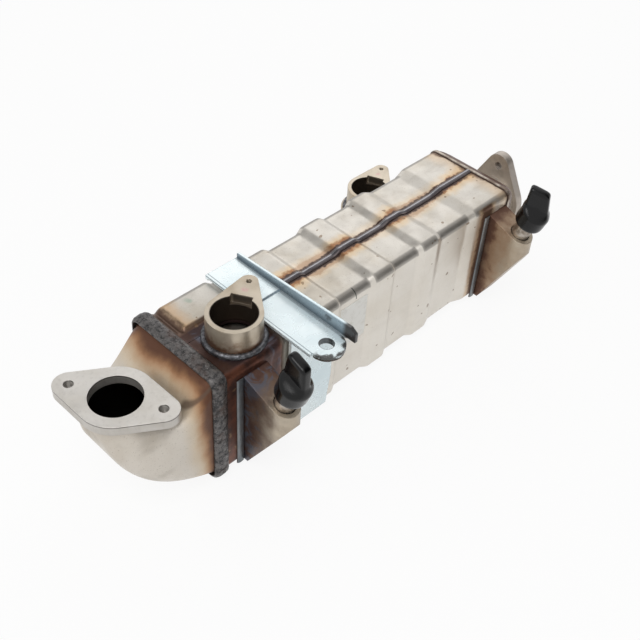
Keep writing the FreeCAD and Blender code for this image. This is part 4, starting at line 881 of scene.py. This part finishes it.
def strip_bead(name, node, material):
    """Lay the upright strip of weld along a vent hood's edge."""
    low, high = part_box(node)
    count, profile = 90, 8
    middle, half = (low[0] + high[0]) / 2, (high[0] - low[0]) / 2
    back, deep = high[1], high[1] - low[1]
    loops = []
    for number in range(count + 1):
        z = low[2] + (high[2] - low[2]) * number / count
        swell = 0.84 + 0.14 * rough((0, 0, z * 1000), 0.12, 9.0)
        loop = []
        for spot in range(profile + 1):
            angle = math.pi * spot / profile
            y = back - deep * math.sin(angle) ** 0.7 * swell
            x = middle + half * math.cos(angle) * 0.97
            y -= 0.00022 * rough((x * 1000, y * 1000, z * 1000), 0.9, 2.0) * math.sin(angle)
            loop.append(Vector((x, max(y, low[1]), z)))
        loops.append(loop)
    finish_piece(sweep(name, loops, BEAD_CREASE), material, "weld_steel", node)


def bracket_bead(material):
    """Lay the burnt lump of weld under the bracket's round end."""
    node = "bracket_weld"
    low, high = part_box(node)
    centre = ((low[0] + high[0]) / 2, high[1])
    outer = (high[0] - low[0]) / 2
    turns, profile, thick = 80, 10, 0.0014
    loops = []
    for number in range(turns + 1):
        angle = math.pi + math.pi * number / turns
        loop = []
        for spot in range(profile):
            tilt = 2 * math.pi * spot / profile
            out = outer - 0.0015 + thick * math.cos(tilt)
            up = (low[2] + high[2]) / 2 + (high[2] - low[2]) / 2 * math.sin(tilt) * FULL
            x, y = centre[0] + out * math.cos(angle), centre[1] + out * math.sin(angle)
            lump = 0.00025 * rough((x * 1000, y * 1000, up * 1000), 0.9, 6.0)
            loop.append(Vector((x + lump * math.cos(angle), y + lump * math.sin(angle), up)))
        loops.append(loop)
    finish_piece(sweep("bracket_bead", loops, BEAD_CREASE), material, "weld_steel", node)


# Rubber caps
def vent_frame(end):
    """Give the place and turn of a vent nipple's own axes."""
    drop = VENT_OUT[end] * math.tan(math.radians(VENT_TILT))
    origin = row(HOODS[end] + NOSE, -(HALF_WIDTH + VENT_OUT[end]), HEAD - drop)
    return Matrix.Translation(origin) @ Matrix.Rotation(math.radians(VENT_TILT), 4, "X")


def cap_piece(end, back, spin, material):
    """Mould a soft cap: a round cup that flattens into a pull tab."""
    place = vent_frame(end) @ Matrix.Rotation(math.radians(spin), 4, "Z")
    lift, cup, tab_high = 18.0, 18.0, 24.0
    cup_round, root_wide, tip_wide, thick = 14.5, 13.0, 10.0, 5.0
    throat, morph, squareness = 4.0, 9.0, 2.4
    mouth_in, mouth_run = 0.5, 1.2
    tip_round, tip_wide_in, tip_thick_in = 3.0, 2.6, 2.2
    bore_round, bore_deep = 9.2, 11.5
    count, size = 44, 56
    total = cup + tab_high
    turns = [2 * math.pi * spot / size for spot in range(size)]
    loops = []
    for number in range(count + 1):
        level = total * number / count
        if level < cup - throat:
            wide = deep = cup_round - mouth_in * math.exp(-level / mouth_run)
            power, shift = 2.0, 0.0
        else:
            ease = eased(min(1.0, (level - cup + throat) / morph))
            run = (level - cup + throat) / (tab_high + throat)
            wide = cup_round * (1 - ease) + (root_wide + (tip_wide - root_wide) * run) * ease
            deep = cup_round * (1 - ease) + thick * ease
            power = 2.0 + squareness * ease
            shift = back * run
            left = max(0.0, total - level)
            if left < tip_round:
                close = math.sqrt(max(0.0, 1 - ((tip_round - left) / tip_round) ** 2))
                wide -= tip_wide_in * (1 - close)
                deep -= tip_thick_in * (1 - close)
        loop = []
        for angle in turns:
            cos, sin = math.cos(angle), math.sin(angle)
            x = math.copysign(abs(cos) ** (2 / power), cos) * deep
            y = math.copysign(abs(sin) ** (2 / power), sin) * wide
            loop.append(place @ Vector((x / 1000, (y + shift) / 1000, (lift + level) / 1000)))
        loops.append(loop)
    bore = []
    for level in (lift + bore_deep, lift):
        ring = [Vector((bore_round * math.cos(angle), bore_round * math.sin(angle), level))
                for angle in turns]
        bore.append([place @ (point / 1000) for point in ring])
    cap = sweep("rubber_cap_" + end, bore + loops, CAP_CREASE)
    finish_piece(cap, material, "cap_rubber", "vent_cap_" + end)


# Threads
def thread_rings(name, centre, axis, thread, material):
    """Give a tapped hole the look of a thread: a fine spiral ridge inside it."""
    radius, depth, pitch = thread
    axis = Vector(axis).normalized()
    side = axis.orthogonal().normalized()
    other = axis.cross(side)
    steps, clear, half = 28, 0.02, 0.34
    loops = []
    for number in range(int(depth / pitch * steps) + 1):
        angle = 2 * math.pi * number / steps
        out = side * math.cos(angle) + other * math.sin(angle)
        middle = Vector(centre) - axis * ((0.35 * pitch + pitch * number / steps) / 1000)
        root = middle + out * ((radius - clear) / 1000)
        rise = axis * (half * pitch / 1000)
        loops.append([root + rise, middle + out * ((radius - 0.55 * pitch) / 1000), root - rise])
    ridge = sweep(name, loops, THREAD_CREASE)
    ridge.data.materials.append(material)
    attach(ridge, "root")


# Studio
def world_light():
    """Light the object evenly, with two soft dark patches that show its folds."""
    world = bpy.data.worlds.new("studio")
    bpy.context.scene.world = world
    group = Group(world)
    group.nodes.clear()
    place = group.new("ShaderNodeTexCoord")["Generated"]
    patches = []
    for direction, edge, core, left in DARK_PATCHES:
        toward = {0: place, 1: Vector(direction).normalized()}
        near = group.new("ShaderNodeVectorMath", toward, operation="DOT_PRODUCT")["Value"]
        patches.append(group.fade(near, edge, core, 1.0, left))
    both = group.math("MULTIPLY", *patches)
    light = {"Color": WORLD_TONE, "Strength": group.math("MULTIPLY", both, WORLD_STRENGTH)}
    # White to the camera; metal sees the same white, with the dark patches in it
    camera, shown = group.shown_share()
    seen = {"Color": WHITE, "Strength": group.math("MAXIMUM", both, camera)}
    group.blend(shown, group.new("ShaderNodeBackground", light)[0],
                group.new("ShaderNodeBackground", seen)[0], "ShaderNodeOutputWorld")


def floor_piece(level):
    """Lay a white floor that keeps a soft shadow."""
    bpy.ops.mesh.primitive_plane_add(size=FLOOR_SIZE, location=(MIDDLE[0], MIDDLE[1], level))
    floor = bpy.context.object
    floor.name = "studio_floor"
    material = bpy.data.materials.new("studio_floor")
    group = Group(material)
    group.nodes.clear()
    share = group.math("MULTIPLY", group.shown_share()[1], FLOOR_GLOW)
    paint = group.new("ShaderNodeBsdfDiffuse", {"Color": FLOOR_TONE})[0]
    glow = group.new("ShaderNodeEmission", {"Color": WHITE, "Strength": 1.0})[0]
    group.blend(share, paint, glow, "ShaderNodeOutputMaterial")
    floor.data.materials.append(material)


def area_lamp(name, place, size, power):
    """Hang a large soft lamp."""
    data = bpy.data.lights.new(name, "AREA")
    data.shape = "DISK"
    data.size = size
    data.energy = power
    lamp = placed(name, data)
    lamp.location = place
    lamp.rotation_euler = (Vector(MIDDLE) - Vector(place)).to_track_quat("-Z", "Y").to_euler()


def camera_piece():
    """Set the camera where the photograph was taken from."""
    yaw, pitch, roll = [math.radians(angle) for angle in CAMERA_TURN]
    ahead = Vector((math.cos(pitch) * math.cos(yaw), math.cos(pitch) * math.sin(yaw), -math.sin(pitch)))
    flat = Vector((math.sin(yaw), -math.cos(yaw), 0))
    upward = flat.cross(ahead)
    right = flat * math.cos(roll) + upward * math.sin(roll)
    upward = upward * math.cos(roll) - flat * math.sin(roll)
    data = bpy.data.cameras.new("camera")
    data.sensor_width = CAMERA_SENSOR
    data.lens = CAMERA_LENS
    data.clip_start = CAMERA_CLIP
    camera = placed("camera", data)
    turn = Matrix((right, upward, -ahead)).transposed().to_4x4()
    camera.matrix_world = Matrix.Translation(CAMERA_PLACE) @ turn
    bpy.context.scene.camera = camera


# Materials onto the nodes that keep their shape
SHELL, DUCT = shell_material(), duct_material()
FLANGE = flange_material("flange_plate", (230, 226, 220), (216, 211, 203), 0.85)
# The rear flange gets darker tones of the same steel: painted shade
REAR_FLANGE = flange_material("flange_plate_rear", (190, 181, 172), (152, 143, 133), 0.0)
WELD = rough_weld_material("weld_scale", (54, 53, 54), (104, 101, 100), 240.0, 0.55)
SPIGOT_WELD = rough_weld_material("weld_spigot", (66, 67, 71), (108, 109, 113), 150.0, 0.25)
SCORCHED = rough_weld_material("weld_scorched", (26, 22, 20), (92, 82, 72), 420.0, 0.8)
SEAM_BEAD, PORT_STEEL = seam_weld_material(), port_material()
HOOD, NIPPLE, RUBBER = hood_material(), nipple_material(), rubber_material()
ZINC, BUNDLE, LABEL = zinc_material(), bundle_material(), label_material()
END_WELD, STRIP_WELD = end_weld_material(), strip_weld_material()
BY_START = [
    ("shell_half", SHELL), ("seam_weld", SEAM_BEAD), ("front_shell_weld", WELD),
    ("rear_shell_weld", END_WELD), ("front_diffuser", DUCT), ("rear_diffuser", DUCT),
    ("front_flange", FLANGE), ("rear_flange", REAR_FLANGE), ("gas_tube", BUNDLE),
    ("tube_fin", BUNDLE), ("tube_plate", BUNDLE), ("baffle", BUNDLE),
    ("coolant_port_front_weld", SPIGOT_WELD), ("coolant_port_rear_weld", SPIGOT_WELD),
    ("coolant_port_rear_hood", HOOD), ("coolant_port", PORT_STEEL), ("vent_hood", HOOD),
    ("vent_nipple", NIPPLE), ("vent_cap", RUBBER), ("vent_weld", STRIP_WELD),
    ("bracket_weld", SCORCHED), ("bracket", ZINC), ("data_label", LABEL),
]
for name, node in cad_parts.items():
    for start, material in BY_START:
        if name.startswith(start):
            node.data.materials.clear()
            node.data.materials.append(material)
            break

# Pieces that stand for their nodes
shell_skin("left", 1, SHELL)
shell_skin("right", -1, SHELL)
duct_skin("front_duct_skin", elbow_loop, ELBOW_STEPS, DUCT, "front_diffuser")
duct_skin("rear_duct_skin", cone_loop, CONE_STEPS, DUCT, "rear_diffuser")
for end, material in (("front", WELD), ("rear", END_WELD)):
    shell_bead(end + "_bead", *SHELL_BEADS[end], material, end + "_shell_weld")
seam_bead("seam_bead_top", 1, SEAM_BEAD, "seam_weld_top")
seam_bead("seam_bead_bottom", -1, SEAM_BEAD, "seam_weld_bottom")
for end, centre, base in (("front", PORT, HALF_HEIGHT - STEP),
                          ("rear", REAR_PORT, REAR_RIM - PORT_RISE)):
    spigot_bead("spigot_bead_" + end, centre, base, SPIGOT_BEAD, SPIGOT_WELD,
                "coolant_port_%s_weld" % end)
for end in HOODS:
    strip_bead("strip_bead_" + end, "vent_weld_" + end, STRIP_WELD)
bracket_bead(SCORCHED)
for end in CAPS:
    cap_piece(end, *CAPS[end], RUBBER)

# Threads in the tapped holes
turn = math.radians(FLANGE_TURN)
for number, sign in enumerate((1, -1)):
    centre = Vector((math.cos(turn), math.sin(turn), 0.0)) * (HOLE_AWAY / 1000 * sign)
    thread_rings("flange_thread_%d" % number, centre, (0, 0, 1), FLANGE_THREAD, FLANGE)
    centre = row(LENGTH + OUT_REACH, -OUT_SHIFT, OUT_RISE + HOLE_AWAY * sign)
    thread_rings("rear_thread_%d" % number, centre, (1, 0, 0), FLANGE_THREAD, REAR_FLANGE)
for number, (centre, rim, angle) in enumerate(((PORT, HALF_HEIGHT - STEP + PORT_RISE, EAR_TURN),
                                               (REAR_PORT, REAR_RIM, REAR_EAR_TURN))):
    spin = math.radians(angle)
    hole = row(centre[0] + HOLE_AWAY * math.cos(spin), centre[1] + HOLE_AWAY * math.sin(spin), rim)
    thread_rings("ear_thread_%d" % number, hole, (0, 0, 1), EAR_THREAD, PORT_STEEL)

world_light()
floor_piece(CAD_LOW[2] - FLOOR_GAP)
for lamp in LAMPS:
    area_lamp(*lamp)
camera_piece()
bpy.context.scene.view_settings.view_transform = "Standard"
